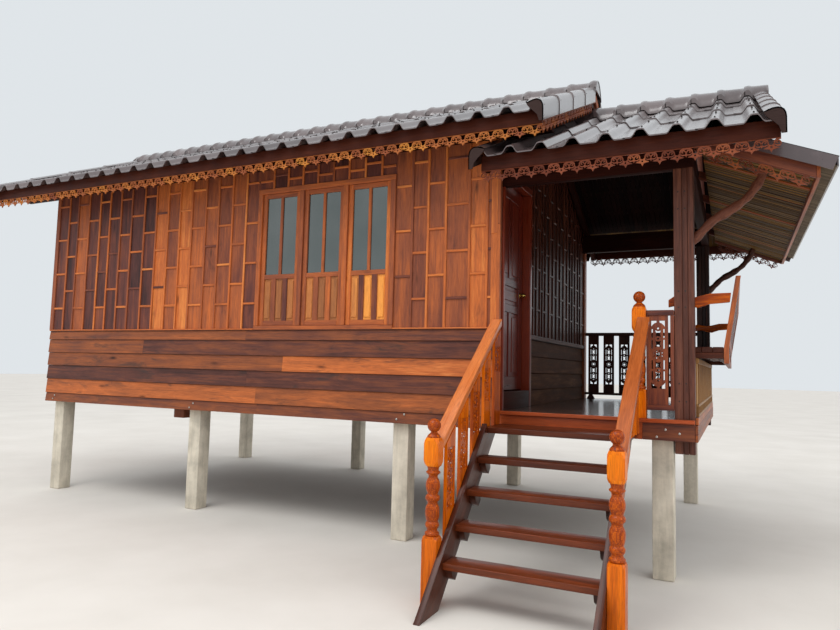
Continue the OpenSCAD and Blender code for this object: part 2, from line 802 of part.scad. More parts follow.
module awning_frame() {
    color("sienna") place() {
        both_sides() along_y(frame_y, frame_y + fascia_t,
            slope(40, frame_x, awning_t + seat, board_low));
        block([end_x + frame_x + seat, frame_y, awn(frame_x) - board_low],
            [end_x + frame_x + fascia_t, depth - frame_y, awn(frame_x + fascia_t) - awning_t - seat]);
        for (y = places(timber_b - timber_y / 2, depth - timber_b + timber_y / 2, rafter_gap))
            along_y(y - rafter_t / 2, y + rafter_t / 2, [
                [end_x + seat - skirt_t, awn(-skirt_t) - awning_t - seat],
                [end_x + frame_x, awn(frame_x) - awning_t - seat],
                [end_x + frame_x, awn(frame_x) - awning_t - awning_rafter_h],
                [end_x + seat - skirt_t, awn(-skirt_t) - awning_t - awning_rafter_h]]);
    }
}

// One natural branch from the timber post up to the awning's rafter.
module branch(points) {
    for (i = [0:len(points) - 2]) {
        d = points[i + 1] - points[i];
        translate([points[i][0], 0, points[i][1]]) rotate([0, atan2(d[0], d[1]), 0])
            cylinder(h = norm(d), d = bracket_d - 2 * i);
        if (i > 0) translate([points[i][0], 0, points[i][1]]) sphere(d = bracket_d + 6 - 2 * i);
    }
}

module branch_brackets() {
    low = awning_t + awning_rafter_h + seat;
    foot_z = awn(0) - bracket_h;
    y = timber_b - timber_y / 2;
    color("sienna") place() both_sides() translate([0, y, 0]) intersection() {
        branch([for (q = [[-0.074, 0], [0.062, 0.111], [0.185, 0.216], [0.327, 0.278],
            [0.444, 0.401], [0.556, 0.741]]) [timber_r + q[0] * bracket_h, foot_z + q[1] * bracket_h]]);
        along_y(-60, 60, [[timber_r + seat, foot_z - 200], [end_x + frame_x, foot_z - 200],
            [end_x + frame_x, awn(frame_x) - low], [timber_r + seat, awn(-skirt_t) - low]]);
    }
}

// Height of the stringer's upper edge.
function edge(y) = tread_z + 37 + (y - nose_y) * rise / run;

// Wedge that carries the end of a tread, fixed to the stringer.
module cleat(x0, x1, i) {
    y = nose_y + i * run;
    z = tread_z - tread_t - seat + i * rise;
    along_x(x0, x1, [[y + 40, z], [y + 150, z], [y + 150, z - 50], [y + 115, z - 85], [y + 70, z - 60]]);
}

module stringers() {
    foot_y = nose_y - (tread_z + 37) * run / rise;
    top_z = floor_z - last_rise - tread_t - seat;
    top_y = foot_y + (top_z + stringer_h) * run / rise;
    end_y = -landing_d - 8;
    color("sienna") place() for (x = [tread_l - stringer_t, tread_r]) {
        along_x(x, x + stringer_t, [
            [foot_y, 0], [foot_y + stringer_h * run / rise, 0], [top_y, top_z],
            [end_y, top_z], [end_y, edge(end_y)]]);
        for (i = [0:3]) cleat(x < room_len + porch_len / 2 ? x + stringer_t - 1 : x - 45,
            x < room_len + porch_len / 2 ? x + stringer_t + 45 : x + 1, i);
    }
}

module treads() {
    color("brown") place() {
        for (i = [0:3]) block([tread_l + seat, nose_y + i * run, tread_z - tread_t + i * rise],
            [tread_r - seat, nose_y + i * run + tread_d, tread_z + i * rise]);
        block([tread_l - stringer_t, -landing_d, tread_z - tread_t + 4 * rise],
            [tread_r + stringer_t, -seat, tread_z + 4 * rise]);
    }
}

// Half profile of a turned baluster section from z0 to z1, in fractions of its height: two rings
// and two vases between square blocks.
turned = [[0, 0.40], [0.02, 0.46], [0.05, 0.46], [0.07, 0.36], [0.10, 0.34], [0.13, 0.42],
    [0.16, 0.45], [0.19, 0.42], [0.21, 0.36], [0.24, 0.40], [0.29, 0.45], [0.34, 0.465],
    [0.39, 0.45], [0.43, 0.40], [0.46, 0.33], [0.49, 0.34], [0.51, 0.42], [0.535, 0.465],
    [0.56, 0.46], [0.585, 0.40], [0.60, 0.34], [0.63, 0.38], [0.67, 0.44], [0.72, 0.465],
    [0.77, 0.44], [0.81, 0.37], [0.84, 0.30], [0.87, 0.31], [0.90, 0.44], [0.92, 0.46],
    [0.94, 0.36], [0.97, 0.37], [1, 0.42]];
finial = [[0, 0.44], [10, 0.44], [22, 0.34], [30, 0.24], [42, 0.20], [48, 0.22]];

// Square block with its long edges cut off near both ends.
module newel_block(z0, z1) {
    h = newel_w / 2;
    c = 14;
    translate([0, 0, z0 + c]) linear_extrude(height = z1 - z0 - 2 * c) square(newel_w, center = true);
    intersection() {
        translate([-h, -h, z0]) cube([newel_w, newel_w, z1 - z0]);
        translate([0, 0, z0]) rotate_extrude() polygon([[0, 0], [h, 0], [h * 1.42, 2 * c],
            [h * 1.42, z1 - z0 - 2 * c], [h, z1 - z0], [0, z1 - z0]]);
    }
}

// Turned newel: a square foot from z0 to z1, the turned part, an upper block and a ball.
module newel(z0, z1) {
    z2 = z1 + turned_h;
    z3 = z2 + newel_up;
    translate([-newel_w / 2, -newel_w / 2, z0]) cube([newel_w, newel_w, z1 - z0 - 20]);
    newel_block(z1 - 60, z1);
    newel_block(z2, z3);
    rotate_extrude() polygon(concat([[0, z1 - 10]], [[0.40 * newel_w, z1 - 10]],
        [for (q = turned) [q[1] * newel_w, z1 + q[0] * (z2 - z1)]],
        [[0.42 * newel_w, z2 + 10], [0, z2 + 10]]));
    translate([0, 0, z3 - 2]) rotate_extrude() polygon(concat([[0, 0]],
        [for (q = finial) [q[1] * newel_w, q[0]]], [[0, finial[5][0]]]));
    translate([0, 0, z3 + 76]) sphere(d = 0.88 * newel_w);
}

module newels() {
    color("orange") place() {
        for (x = [stair_l, stair_r]) translate([x, newel_y, 0]) newel(0, newel_low);
        translate([newel_top_x, newel_top_y, 0]) newel(floor_z + seat, floor_z + newel_top_low);
    }
}

// Height of the handrail's underside.
function rail(y) = floor_z + rail_top - rail_h
    + (y / -rail_y) * (floor_z + rail_top - rail_foot);

module handrails() {
    color("orange") place() {
        for (x = [stair_l, stair_r]) {
            y1 = x == stair_l ? -seat : newel_top_y - newel_w / 2 - seat;
            along_x(x - rail_w / 2, x + rail_w / 2, [
                [rail_y + seat, rail(rail_y + seat)], [y1, rail(y1)],
                [y1, rail(y1) + rail_h], [rail_y + seat, rail(rail_y + seat) + rail_h]]);
        }
    }
}

// Places of the stair's slats between the newels.
slat_y = places(rail_y + slat_w / 2 + 55, -slat_w / 2 - 40, slat_gap);

// Cuts of one fret slat that stands on z0: a column of pairs of round holes with lozenges between.
module slat_cuts(z0, h, w) {
    n = floor((h - 120) / 110);
    for (i = [0:n - 1]) {
        z = z0 + (h - n * 110) / 2 + 55 + i * 110;
        for (s = [-1, 1]) translate([0, s * w * 0.2, z]) rotate([0, 90, 0])
            cylinder(h = 4 * slat_t, d = w * 0.19, center = true);
        translate([0, 0, z + 45]) rotate([45, 0, 0])
            cube([4 * slat_t, w * 0.16, w * 0.16], center = true);
    }
}

module stair_slats() {
    color("darkorange") place() for (x = [tread_l - stringer_t - slat_t - seat, tread_r + stringer_t + seat])
        for (y = slat_y) {
            y0 = y - slat_w / 2;
            y1 = y + slat_w / 2;
            difference() {
                along_x(x, x + slat_t, [[y0, min(edge(y0), under_z) - 80], [y1, min(edge(y1), under_z) - 80],
                    [y1, rail(y1) - seat], [y0, rail(y0) - seat]]);
                translate([x + slat_t / 2, y, 0])
                    slat_cuts(edge(y) + 40, rail(y) - edge(y) - 60, slat_w);
            }
        }
}

module porch_panel() {
    x0 = newel_top_x + newel_w / 2 + seat;
    x1 = timber_l - seat;
    z1 = floor_z + railing_h - 40;
    w = (x1 - x0) - 62;
    color("sienna") place() difference() {
        block([x0, 35, floor_z + 60], [x1, 75, z1]);
        block([x0 - 1, 0, floor_z + 100], [x0 + 14, 99, z1 - 40]);
        block([x0 + 14 + w, 0, floor_z + 100], [x1 - 25, 99, z1 - 40]);
        block([x0 + 14, 0, floor_z + 100], [x0 + 14 + w, 44, z1 - 40]);
        block([x0 + 14, 66, floor_z + 100], [x0 + 14 + w, 99, z1 - 40]);
        for (i = [0:6]) translate([x0 + 14 + w / 2, 55, floor_z + 250 + i * 70]) rotate([90, 0, 0])
            cylinder(h = 99, d = i % 2 == 0 ? w * 0.34 : w * 0.2, center = true);
        for (i = [0:5]) for (s = [-1, 1])
            translate([x0 + 14 + w / 2 + s * w * 0.27, 55, floor_z + 285 + i * 70]) rotate([0, 45, 0])
                cube([w * 0.11, 99, w * 0.11], center = true);
    }
}

// One slat of the railing, upright on z0, with a round-ended slot that holds a chain of rings.
module baluster(x, y, z0, z1) {
    c = x + baluster_w / 2;
    s = baluster_w * 0.44;
    a = z0 + 110 + s / 2;
    b = z1 - 110 - s / 2;
    n = 7;
    difference() {
        block([x, y, z0], [x + baluster_w, y + slat_t, z1]);
        difference() {
            union() {
                block([c - s / 2, y - 1, a], [c + s / 2, y + slat_t + 1, b]);
                for (z = [a, b]) translate([c, y - 1, z]) rotate([-90, 0, 0])
                    cylinder(h = slat_t + 2, d = s);
            }
            block([c - 6, y - 2, a - s], [c + 6, y + slat_t + 2, b + s]);
            for (i = [0:n - 1]) translate([c, y - 2, a + (b - a) * i / (n - 1)]) rotate([-90, 0, 0])
                cylinder(h = slat_t + 4, d = i % 2 == 0 ? s * 0.72 : s * 0.5);
            for (i = [0:2:n - 1]) translate([c, y + slat_t / 2, a + (b - a) * i / (n - 1)])
                cube([s + 2, slat_t + 4, 9], center = true);
        }
        for (i = [0:n - 1]) translate([c, y - 1, a + (b - a) * i / (n - 1)]) rotate([-90, 0, 0])
            cylinder(h = slat_t + 2, d = i % 2 == 0 ? s * 0.36 : s * 0.2);
    }
}

module back_railing() {
    y = depth - rim_t + 5;
    x1 = timber_l - seat;
    z0 = floor_z + 50;
    z1 = floor_z + railing_h - 40;
    n = floor((x1 - room_len - 40 - baluster_w) / baluster_gap);
    color("sienna") place() {
        block([room_len + seat, y, z1], [x1, y + 50, z1 + 40]);
        block([room_len + seat, y, z0], [x1, y + 50, z0 + 30]);
        for (i = [0:n]) baluster(room_len + 60 + i * baluster_gap, y + 14, z0 + 29, z1 + 1);
        for (x = places(room_len + 40, x1 - 140, 620))
            along_y(y + 10, y + 40, [[x, floor_z + seat], [x + 100, floor_z + seat],
                [x + 70, z0 + 1], [x + 30, z0 + 1]]);
    }
}

module side_panel() {
    z0 = floor_z + skirt_up + seat;
    z1 = seat_z - seat_t - seat;
    y0 = timber_b + seat;
    y1 = depth - timber_b - seat;
    s = places(y0 + 12, y1 - 112, 130);
    h = places(y0, y1 - 20, 160);
    color("peru") place() {
        block([end_x - 40, y0, z0], [end_x, y1, z0 + 20]);
        block([end_x - 40, y0, z0 + 72], [end_x, y1, z0 + 92]);
        block([end_x - 40, y0, z1 - 40], [end_x, y1, z1]);
        for (y = h) block([end_x - 40, y, z0 + 19], [end_x, y + 20, z0 + 73]);
        for (y = s) block([end_x - 31, y, z0 + 91], [end_x - 31 + slat_t, y + 100, z1 - 39]);
    }
}

module bench_seat() {
    color("sienna") place() block([end_x - seat_in, timber_b + seat, seat_z - seat_t],
        [end_x + seat_out, depth - timber_b - seat, seat_z]);
}

module bench_back() {
    x = end_x + seat_out + seat;
    color("peru") place() along_y(timber_b + seat, depth - timber_b - seat, [
        [x, seat_z - seat_t - 40], [x + back_t + 4, seat_z - seat_t - 40], [x + back_t + 4, seat_z],
        [x + back_t + back_lean, seat_z + back_h], [x + back_lean, seat_z + back_h], [x, seat_z]]);
}

module bench_arms() {
    z = seat_z + arm_h;
    x = end_x + seat_out + back_lean * (arm_h + 30) / back_h - 10;
    color("peru") place() both_sides() along_y(timber_b + seat, timber_b + arm_t, [
        [end_x - seat_in, z - 30], [end_x - seat_in, z + 25], [timber_l, z + 60], [timber_r - 20, z + 38],
        [end_x + 80, z + 68], [x + 5, z + 70], [x - 4, z], [end_x + 80, z - 10], [end_x, z - 38],
        [timber_l + 40, z - 10]]);
}

posts();
wall_posts();
girders();
joists();
rims_long();
rims_end();
room_floor();
porch_floor();
front_wall_lower();
front_wall_sides();
front_wall_head();
left_wall();
back_wall();
right_wall_rear();
right_wall_head();
wall_plates();
window_frame();
window_leaves();
window_glass();
door_frame();
door_sill();
door_leaf();
door_knobs();
hinge_pins();
hinge_sleeves();
porch_posts();
porch_beams();
porch_tie();
porch_gable();
rafters();
porch_rafters();
battens();
main_roof();
porch_roof();
awning_roof();
ridge_caps();
verge_caps();
awning_caps();
fascias();
barge_boards();
fretwork();
awning_frame();
branch_brackets();
stringers();
treads();
newels();
handrails();
stair_slats();
porch_panel();
back_railing();
side_panel();
bench_seat();
bench_back();
bench_arms();
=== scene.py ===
"""Looks of the timber stilt house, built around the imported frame. Lengths are in metres.

Pieces are written in house coordinates: X along the front from the room's left corner, Y to the
back, Z up. SHIFT moves them into the frame's own coordinates.
"""
import bpy
import bmesh
import math
import random
import numpy as np
from itertools import product
from mathutils import Matrix, Vector


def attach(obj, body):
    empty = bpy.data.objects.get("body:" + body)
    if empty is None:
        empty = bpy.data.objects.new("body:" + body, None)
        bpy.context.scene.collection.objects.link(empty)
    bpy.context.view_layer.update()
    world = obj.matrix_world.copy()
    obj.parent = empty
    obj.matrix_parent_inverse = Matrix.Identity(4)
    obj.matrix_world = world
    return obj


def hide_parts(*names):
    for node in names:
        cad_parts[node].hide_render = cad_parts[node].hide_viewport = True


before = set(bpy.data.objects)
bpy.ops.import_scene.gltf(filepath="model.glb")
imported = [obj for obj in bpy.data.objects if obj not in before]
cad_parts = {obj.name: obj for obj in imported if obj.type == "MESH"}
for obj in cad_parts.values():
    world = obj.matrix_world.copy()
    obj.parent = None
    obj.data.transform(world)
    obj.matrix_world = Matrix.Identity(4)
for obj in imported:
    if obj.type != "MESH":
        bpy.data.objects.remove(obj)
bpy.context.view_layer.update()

# ---------------------------------------------------------------- plan
SHIFT = Vector((-0.180, -0.135, 0.0))
X, Y, Z = (1, 0, 0), (0, 1, 0), (0, 0, 1)
# Right ends of the room and the porch, depth of the house, line of the ridge.
ROOM, END, DEPTH, MID = 5.56, 7.08, 3.50, 1.75
# Heights: foot of the rims, underside and top of the floors, sill, top of the wall boards, top of the plates.
RIM, FLOOR_LOW, FLOOR, SILL, WALL_TOP, PLATE = 1.005, 1.13, 1.16, 1.825, 3.428, 3.528
# Thickness of the walls, and how far the upright front boards stand back behind the lap boards.
WALL, SETB = 0.08, 0.02
# Free width between the porch posts.
BAY_0, BAY_1 = 0.1903, 3.3097
TAN = math.tan(math.radians(24.5))
UP_SLOPE = (0, 1, TAN)
# Crest of the rolls of the main roof and of the porch roof, at the ridge, and the drop to the undersides.
RIDGE = PLATE + 0.216 + (MID - WALL) * TAN
PORCH = RIDGE - (0.066 + 0.110 + 0.095 + 0.024 + 0.002 + 0.0185 * TAN)
UNDER_ROOF = 0.1065
# How far below the crest the battens' tops lie, and how much lower they are shown.
BATTEN_TOP, BATTEN_DROP = 0.0663, 0.006
# Tiles: distance between rolls, height of a roll, exposed length, and a roll's place on each roof.
PITCH, WAVE, COURSE = 0.2352, 0.055, 0.83
MAIN_ROLL, PORCH_ROLL = -0.346, 6.280
# Fall of the awning for each metre along X, and its outer edge.
FALL = 0.418
DOWN_AWNING = (1, 0, -FALL)
OUTER = END + 0.875
# Window frame: left, right, top of its sill, underside and top of its head.
WIN_L, WIN_R, WIN_LOW, WIN_HEAD, WIN_TOP = 3.04, 4.59, 1.865, 3.18, 3.23
# Door leaf: its near edge, foot, width and height.
DOOR_Y, DOOR_Z, DOOR_WIDE, DOOR_HIGH = 0.133, 1.315, 0.73, 1.83


def crest(top, y):
    """Height of a roof's rolls at a depth, from their height at the ridge."""
    return top - abs(MID - y) * TAN


AWNING = crest(PORCH, -0.17) - 0.066 + 0.034


def awn(x):
    """Height of the awning's line, on which its roof, frame and fretwork are placed."""
    return AWNING - (x - END) * FALL


def flip(y, back):
    """Mirrors a depth to the back of the house."""
    return DEPTH - y if back else y


def circle(n):
    """Cosine and sine of n even turns."""
    return [(math.cos(2 * math.pi * i / n), math.sin(2 * math.pi * i / n)) for i in range(n)]


# ---------------------------------------------------------------- materials
def srgb(r, g, b):
    """Linear colour of an sRGB one that is given in steps of 255."""
    return tuple((c / 255 / 12.92) if c <= 10 else ((c / 255 + 0.055) / 1.055) ** 2.4
                 for c in (r, g, b)) + (1.0,)


BLACK, WHITE = (0, 0, 0), (1, 1, 1)


class Nodes:
    """Short helper for writing the node tree of a material or of the world."""
    def __init__(self, owner):
        owner.use_nodes = True
        self.owner, self.tree = owner, owner.node_tree

    def add(self, kind, **settings):
        node = self.tree.nodes.new("ShaderNode" + kind)
        for key, value in settings.items():
            setattr(node, key, value)
        return node

    def feed(self, socket, value):
        """Gives a socket a number, a colour or another node's output."""
        if isinstance(value, (int, float, tuple)):
            socket.default_value = value
        else:
            self.tree.links.new(value, socket)

    def position(self):
        return self.add("NewGeometry").outputs["Position"]

    def attribute(self, name):
        return self.add("Attribute", attribute_name=name).outputs["Fac"]

    def maths(self, op, a, b, clamp=False):
        node = self.add("Math", operation=op, use_clamp=clamp)
        self.feed(node.inputs[0], a)
        self.feed(node.inputs[1], b)
        return node.outputs[0]

    def noise(self, vector, scale, detail, rough, distort=0.0):
        node = self.add("TexNoise")
        for key, value in (("Vector", vector), ("Scale", scale), ("Detail", detail), ("Roughness", rough),
                           ("Distortion", distort)):
            self.feed(node.inputs[key], value)
        return node.outputs["Fac"]

    def cells(self, vector, scale):
        """Distance from the nearest cell's centre, and a random colour for each cell."""
        node = self.add("TexVoronoi")
        self.feed(node.inputs["Vector"], vector)
        self.feed(node.inputs["Scale"], scale)
        return node.outputs["Distance"], node.outputs["Color"]

    def ramp(self, fac, stops):
        node = self.add("ValToRGB")
        elements = node.color_ramp.elements
        while len(elements) < len(stops):
            elements.new(0.5)
        for element, (pos, colour) in zip(elements, stops):
            element.position = pos
            element.color = tuple(colour[:3]) + (1.0,)
        self.feed(node.inputs[0], fac)
        return node.outputs[0]

    def mix(self, fac, a, b, blend="MIX"):
        node = self.add("Mix", data_type="RGBA", blend_type=blend)
        for i, value in ((0, fac), (6, a), (7, b)):
            self.feed(node.inputs[i], value)
        return node.outputs[2]

    def bump(self, height, strength, distance):
        node = self.add("Bump")
        for key, value in (("Height", height), ("Strength", strength), ("Distance", distance)):
            self.feed(node.inputs[key], value)
        return node.outputs["Normal"]

    def done(self, colour, rough, normal=None, **fixed):
        """Feeds the surface shader and hands the material back."""
        sockets = self.tree.nodes["Principled BSDF"].inputs
        self.feed(sockets["Base Color"], colour)
        self.feed(sockets["Roughness"], rough)
        if normal is not None:
            self.feed(sockets["Normal"], normal)
        for key, value in fixed.items():
            sockets[key.replace("_", " ")].default_value = value
        return self.owner


def wood(name, stops, gloss, coat, figure, knots, shine, stain_colour=(48, 30, 30)):
    """Varnished wood: streaks and fibres run along the grain map, tone and seed come per board."""
    n = Nodes(bpy.data.materials.new(name))
    split = n.add("SeparateXYZ")
    n.feed(split.inputs[0], n.add("UVMap", uv_map="grain").outputs[0])
    shift = n.maths("MULTIPLY", n.attribute("seed"), 37.0)

    def coords(along, across):
        c = n.add("CombineXYZ")
        n.feed(c.inputs[0], n.maths("ADD", n.maths("MULTIPLY", split.outputs[0], along), shift))
        n.feed(c.inputs[1], n.maths("MULTIPLY", split.outputs[1], across))
        n.feed(c.inputs[2], shift)
        return c.outputs[0]
    broad = n.noise(coords(0.9, 9.0), 1.0, 5.0, 0.62, 0.9)
    streak = n.noise(coords(2.2, 46.0), 1.0, 4.0, 0.6, 0.5)
    fibre = n.noise(coords(12.0, 420.0), 1.0, 2.0, 0.5)
    blotch = n.noise(coords(3.0, 7.0), 1.0, 3.0, 0.5)
    t = n.attribute("tone")
    for cloud, share, clamp in ((broad, 1.0, False), (streak, 0.75, False), (blotch, 0.5, True)):
        swing = n.maths("MULTIPLY", n.maths("SUBTRACT", cloud, 0.5), figure * share)
        t = n.maths("ADD", t, swing, clamp)
    colour = n.ramp(t, [(pos, srgb(*rgb)) for pos, *rgb in stops])
    dark = n.ramp(fibre, [(0.36, (0.55, 0.48, 0.46)), (0.54, WHITE)])
    colour = n.mix(0.6, colour, dark, "MULTIPLY")
    stain = n.ramp(n.noise(coords(1.3, 5.5), 1.0, 4.0, 0.7, 1.4), [(0.58, BLACK), (0.72, WHITE)])
    colour = n.mix(n.maths("MULTIPLY", stain, 0.55 * knots), colour, srgb(*stain_colour))
    distance, cell = n.cells(coords(2.1, 7.5), 1.0)
    knot = n.ramp(distance, [(0.0, WHITE), (0.10, (0.35, 0.35, 0.35)), (0.16, BLACK)])
    chosen = n.ramp(cell, [(0.55, BLACK), (0.62, WHITE)])
    hide = n.maths("MULTIPLY", n.maths("MULTIPLY", knot, chosen), knots)
    colour = n.mix(hide, colour, srgb(38, 16, 10))
    rough = n.maths("ADD", n.maths("MULTIPLY", streak, 0.22), gloss - 0.10)
    height = n.maths("ADD", n.maths("MULTIPLY", fibre, 0.5), streak)
    return n.done(colour, rough, n.bump(height, 0.35, 0.0012), Coat_Weight=coat,
                  Coat_Roughness=0.16, Specular_IOR_Level=shine)


def tile_material(name, low, mid, high):
    """Glazed paint, with a tone for each tile, clouds and dust."""
    n = Nodes(bpy.data.materials.new(name))
    pos = n.position()
    cloud = n.noise(pos, 3.0, 5.0, 0.65)
    fine = n.noise(pos, 140.0, 3.0, 0.6)
    dust = n.noise(pos, 14.0, 5.0, 0.7)
    t = n.maths("ADD", n.maths("MULTIPLY", n.attribute("tone"), 0.4), n.maths("MULTIPLY", cloud, 0.6))
    colour = n.ramp(t, [(0.25, srgb(*low)), (0.6, srgb(*mid)), (0.85, srgb(*high))])
    veil = n.ramp(dust, [(0.55, BLACK), (0.8, (0.22, 0.22, 0.22))])
    colour = n.mix(veil, colour, tuple(min(1.5 * c, 1.0) for c in srgb(*high)))
    rough = n.maths("ADD", n.maths("MULTIPLY", dust, 0.12), 0.30)
    return n.done(colour, rough, n.bump(fine, 0.25, 0.001), Specular_IOR_Level=0.6, Coat_Weight=1.0,
                  Coat_Roughness=0.18)


def concrete_material():
    """Pale cast concrete with runs from the rain and small pits."""
    n = Nodes(bpy.data.materials.new("cast_concrete"))
    pos = n.position()
    cloud = n.noise(pos, 5.0, 6.0, 0.65)
    grit = n.noise(pos, 260.0, 3.0, 0.7)
    upright = n.add("Mapping")
    upright.inputs["Scale"].default_value = (1.0, 1.0, 0.12)
    n.feed(upright.inputs["Vector"], pos)
    run = n.noise(upright.outputs[0], 30.0, 4.0, 0.6)
    colour = n.ramp(cloud, [(0.3, srgb(186, 178, 162)), (0.5, srgb(213, 204, 186)), (0.7, srgb(230, 221, 203))])
    colour = n.mix(0.3, colour, n.ramp(run, [(0.35, (0.5, 0.5, 0.48)), (0.6, WHITE)]), "MULTIPLY")
    distance, cell = n.cells(pos, 46.0)
    hole = n.ramp(distance, [(0.05, WHITE), (0.14, BLACK)])
    rare = n.ramp(cell, [(0.68, BLACK), (0.74, WHITE)])
    mask = n.maths("MULTIPLY", hole, rare)
    colour = n.mix(mask, colour, srgb(96, 90, 80))
    return n.done(colour, 0.85, n.bump(n.maths("SUBTRACT", grit, mask), 0.4, 0.0015))


def metal_material(name, rgb, rough, metallic=1.0):
    n = Nodes(bpy.data.materials.new(name))
    col = srgb(*rgb)
    spots = n.noise(n.position(), 90.0, 4.0, 0.6)
    colour = n.ramp(spots, [(0.35, tuple(0.75 * c for c in col[:3])), (0.65, col)])
    return n.done(colour, n.maths("ADD", n.maths("MULTIPLY", spots, 0.2), rough), Metallic=metallic)


def glass_material():
    """Dark reflecting window glass."""
    n = Nodes(bpy.data.materials.new("dark_glass"))
    film = n.noise(n.position(), 1.7, 3.0, 0.5)
    colour = n.ramp(film, [(0.3, srgb(104, 110, 108)), (0.7, srgb(118, 122, 120))])
    rough = n.maths("ADD", n.maths("MULTIPLY", film, 0.02), 0.015)
    return n.done(colour, rough, Metallic=0.85)


# Each wood: slot, material, colour stops from dark to light as place and sRGB, then gloss, coat, figure,
# knots, shine and, for the lap boards, the colour of the stains.
WOODS = {
    "wall": ("wall_panels", "wall_wood", ((0.0, 40, 24, 27), (0.25, 102, 56, 48), (0.5, 154, 84, 52),
             (0.75, 206, 111, 52), (1.0, 240, 152, 78)), 0.45, 0.06, 0.55, 0.8, 0.25),
    "lap": ("wall_boards", "lap_wood", ((0.0, 48, 32, 31), (0.25, 98, 58, 49), (0.5, 150, 85, 50),
            (0.75, 204, 112, 58), (1.0, 236, 150, 84)), 0.45, 0.06, 0.6, 1.2, 0.2, (50, 46, 45)),
    "panel": ("frame_timber", "panel_wood", ((0.0, 104, 56, 40), (0.4, 160, 101, 60), (0.7, 204, 128, 68),
              (1.0, 250, 164, 74)), 0.45, 0.05, 0.4, 0.4, 0.25),
    "dark": ("beam_timber", "dark_wood", ((0.0, 18, 8, 6), (0.5, 78, 38, 25), (1.0, 140, 74, 44)),
             0.5, 0.0, 0.6, 0.5, 0.2),
    # gloss: the wall wood's hues made darker and a little glossier; the darkness is painted shade, for the porch wall's
    # boards and battens under the porch roof.
    "gloss": ("wall_panels", "glossy_wood", ((0.0, 22, 9, 7), (0.5, 78, 38, 26), (1.0, 140, 76, 48)),
              0.40, 0.06, 0.5, 0.2, 0.2),
    "weather": ("wall_panels", "weathered_wood", ((0.0, 44, 25, 17), (0.5, 100, 64, 44), (1.0, 156, 112, 78)),
                0.6, 0.0, 0.9, 0.6, 0.1),
    "post": ("beam_timber", "post_wood", ((0.0, 36, 18, 15), (0.5, 98, 58, 46), (1.0, 150, 94, 70)),
             0.45, 0.08, 0.9, 0.9, 0.25),
    # shade: a near-black wood that is painted shade, for the porch ceiling, porch rafters, porch beams, porch tie and
    # wall plates.
    "shade": ("beam_timber", "ceiling_wood", ((0.0, 14, 5, 4), (0.5, 42, 17, 12), (1.0, 78, 34, 24)),
              0.65, 0.0, 0.6, 0.3, 0.05),
    "fascia": ("fascia_timber", "fascia_wood", ((0.0, 32, 13, 9), (0.5, 72, 32, 21), (1.0, 104, 52, 33)),
               0.45, 0.0, 0.6, 0.2, 0.12),
    "fret": ("fret_timber", "fret_wood", ((0.0, 96, 42, 24), (0.35, 148, 78, 50), (0.65, 190, 112, 54),
             (1.0, 222, 152, 60)), 0.5, 0.0, 0.4, 0.4, 0.2),
    "tread": ("tread_timber", "tread_wood", ((0.0, 46, 17, 8), (0.5, 106, 48, 21), (1.0, 180, 82, 38)),
              0.33, 0.12, 0.6, 0.4, 0.25),
    "newel": ("newel_timber", "newel_wood", ((0.0, 96, 34, 9), (0.3, 158, 64, 14), (0.6, 230, 112, 6),
              (1.0, 254, 142, 10)), 0.30, 0.12, 0.85, 0.6, 0.15),
    "rail": ("newel_timber", "rail_wood", ((0.0, 130, 58, 24), (0.5, 208, 112, 52), (1.0, 236, 148, 88)),
             0.30, 0.30, 0.6, 0.6, 0.3),
    "door": ("door_timber", "door_wood", ((0.0, 34, 11, 8), (0.5, 106, 35, 22), (1.0, 152, 62, 36)),
             0.3, 0.25, 0.4, 0.2, 0.25),
    "floor": ("floor_boards", "floor_wood", ((0.0, 46, 29, 25), (0.5, 80, 54, 45), (1.0, 114, 80, 65)),
              0.2, 0.5, 0.5, 0.2, 0.3),
    "reed": ("frame_timber", "reed_wood", ((0.0, 36, 20, 6), (0.45, 88, 60, 18), (0.8, 128, 92, 30),
             (1.0, 150, 70, 22)), 0.6, 0.0, 0.5, 0.0, 0.15),
    "soffit": ("frame_timber", "soffit_wood", ((0.0, 74, 64, 50), (0.5, 106, 95, 76), (1.0, 136, 122, 98)),
               0.6, 0.0, 0.5, 0.0, 0.15),
    "slat": ("fret_timber", "slat_wood", ((0.0, 90, 52, 26), (0.5, 150, 108, 62), (1.0, 190, 146, 90)),
             0.5, 0.05, 0.6, 0.4, 0.25),
    "branch": ("branch_wood", "branch_bark", ((0.0, 44, 20, 15), (0.5, 104, 58, 42), (1.0, 146, 92, 68)),
               0.5, 0.0, 0.7, 0.5, 0.25),
    "plate": ("roof_tile", "shaded_tile", ((0.0, 58, 43, 40), (0.5, 76, 59, 56), (1.0, 98, 80, 76)),
              0.6, 0.0, 0.15, 0.0, 0.1),
}
M = {key: wood(*row[1:]) for key, row in WOODS.items()}
SLOTS = {key: row[0] for key, row in WOODS.items()}
for key, slot, material in (
        ("tile", "roof_tile", tile_material("painted_tile", (70, 56, 55), (93, 79, 78), (114, 100, 98))),
        ("flash", "roof_tile", tile_material("painted_flashing", (66, 52, 52), (82, 67, 68), (98, 84, 86))),
        ("concrete", "concrete", concrete_material()),
        ("glass", "glass", glass_material()),
        ("brass", "brass", metal_material("brass", (214, 178, 96), 0.15)),
        ("steel", "hinge_steel", metal_material("plain_steel", (196, 196, 190), 0.25)),
        ("nail", "hinge_steel", metal_material("dark_screw", (60, 54, 52), 0.4, 0.6))):
    M[key], SLOTS[key] = material, slot


# ---------------------------------------------------------------- mesh building
def put(name, mesh, material, body, replaces):
    """Smooths a mesh, puts it in the scene and says where it belongs."""
    mesh.materials.append(M[material])
    mesh.polygons.foreach_set("use_smooth", [True] * len(mesh.polygons))
    mesh.set_sharp_from_angle(angle=math.radians(35))
    obj = bpy.data.objects.new(name, mesh)
    bpy.context.scene.collection.objects.link(obj)
    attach(obj, body)
    if replaces:
        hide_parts(*replaces)
    return obj


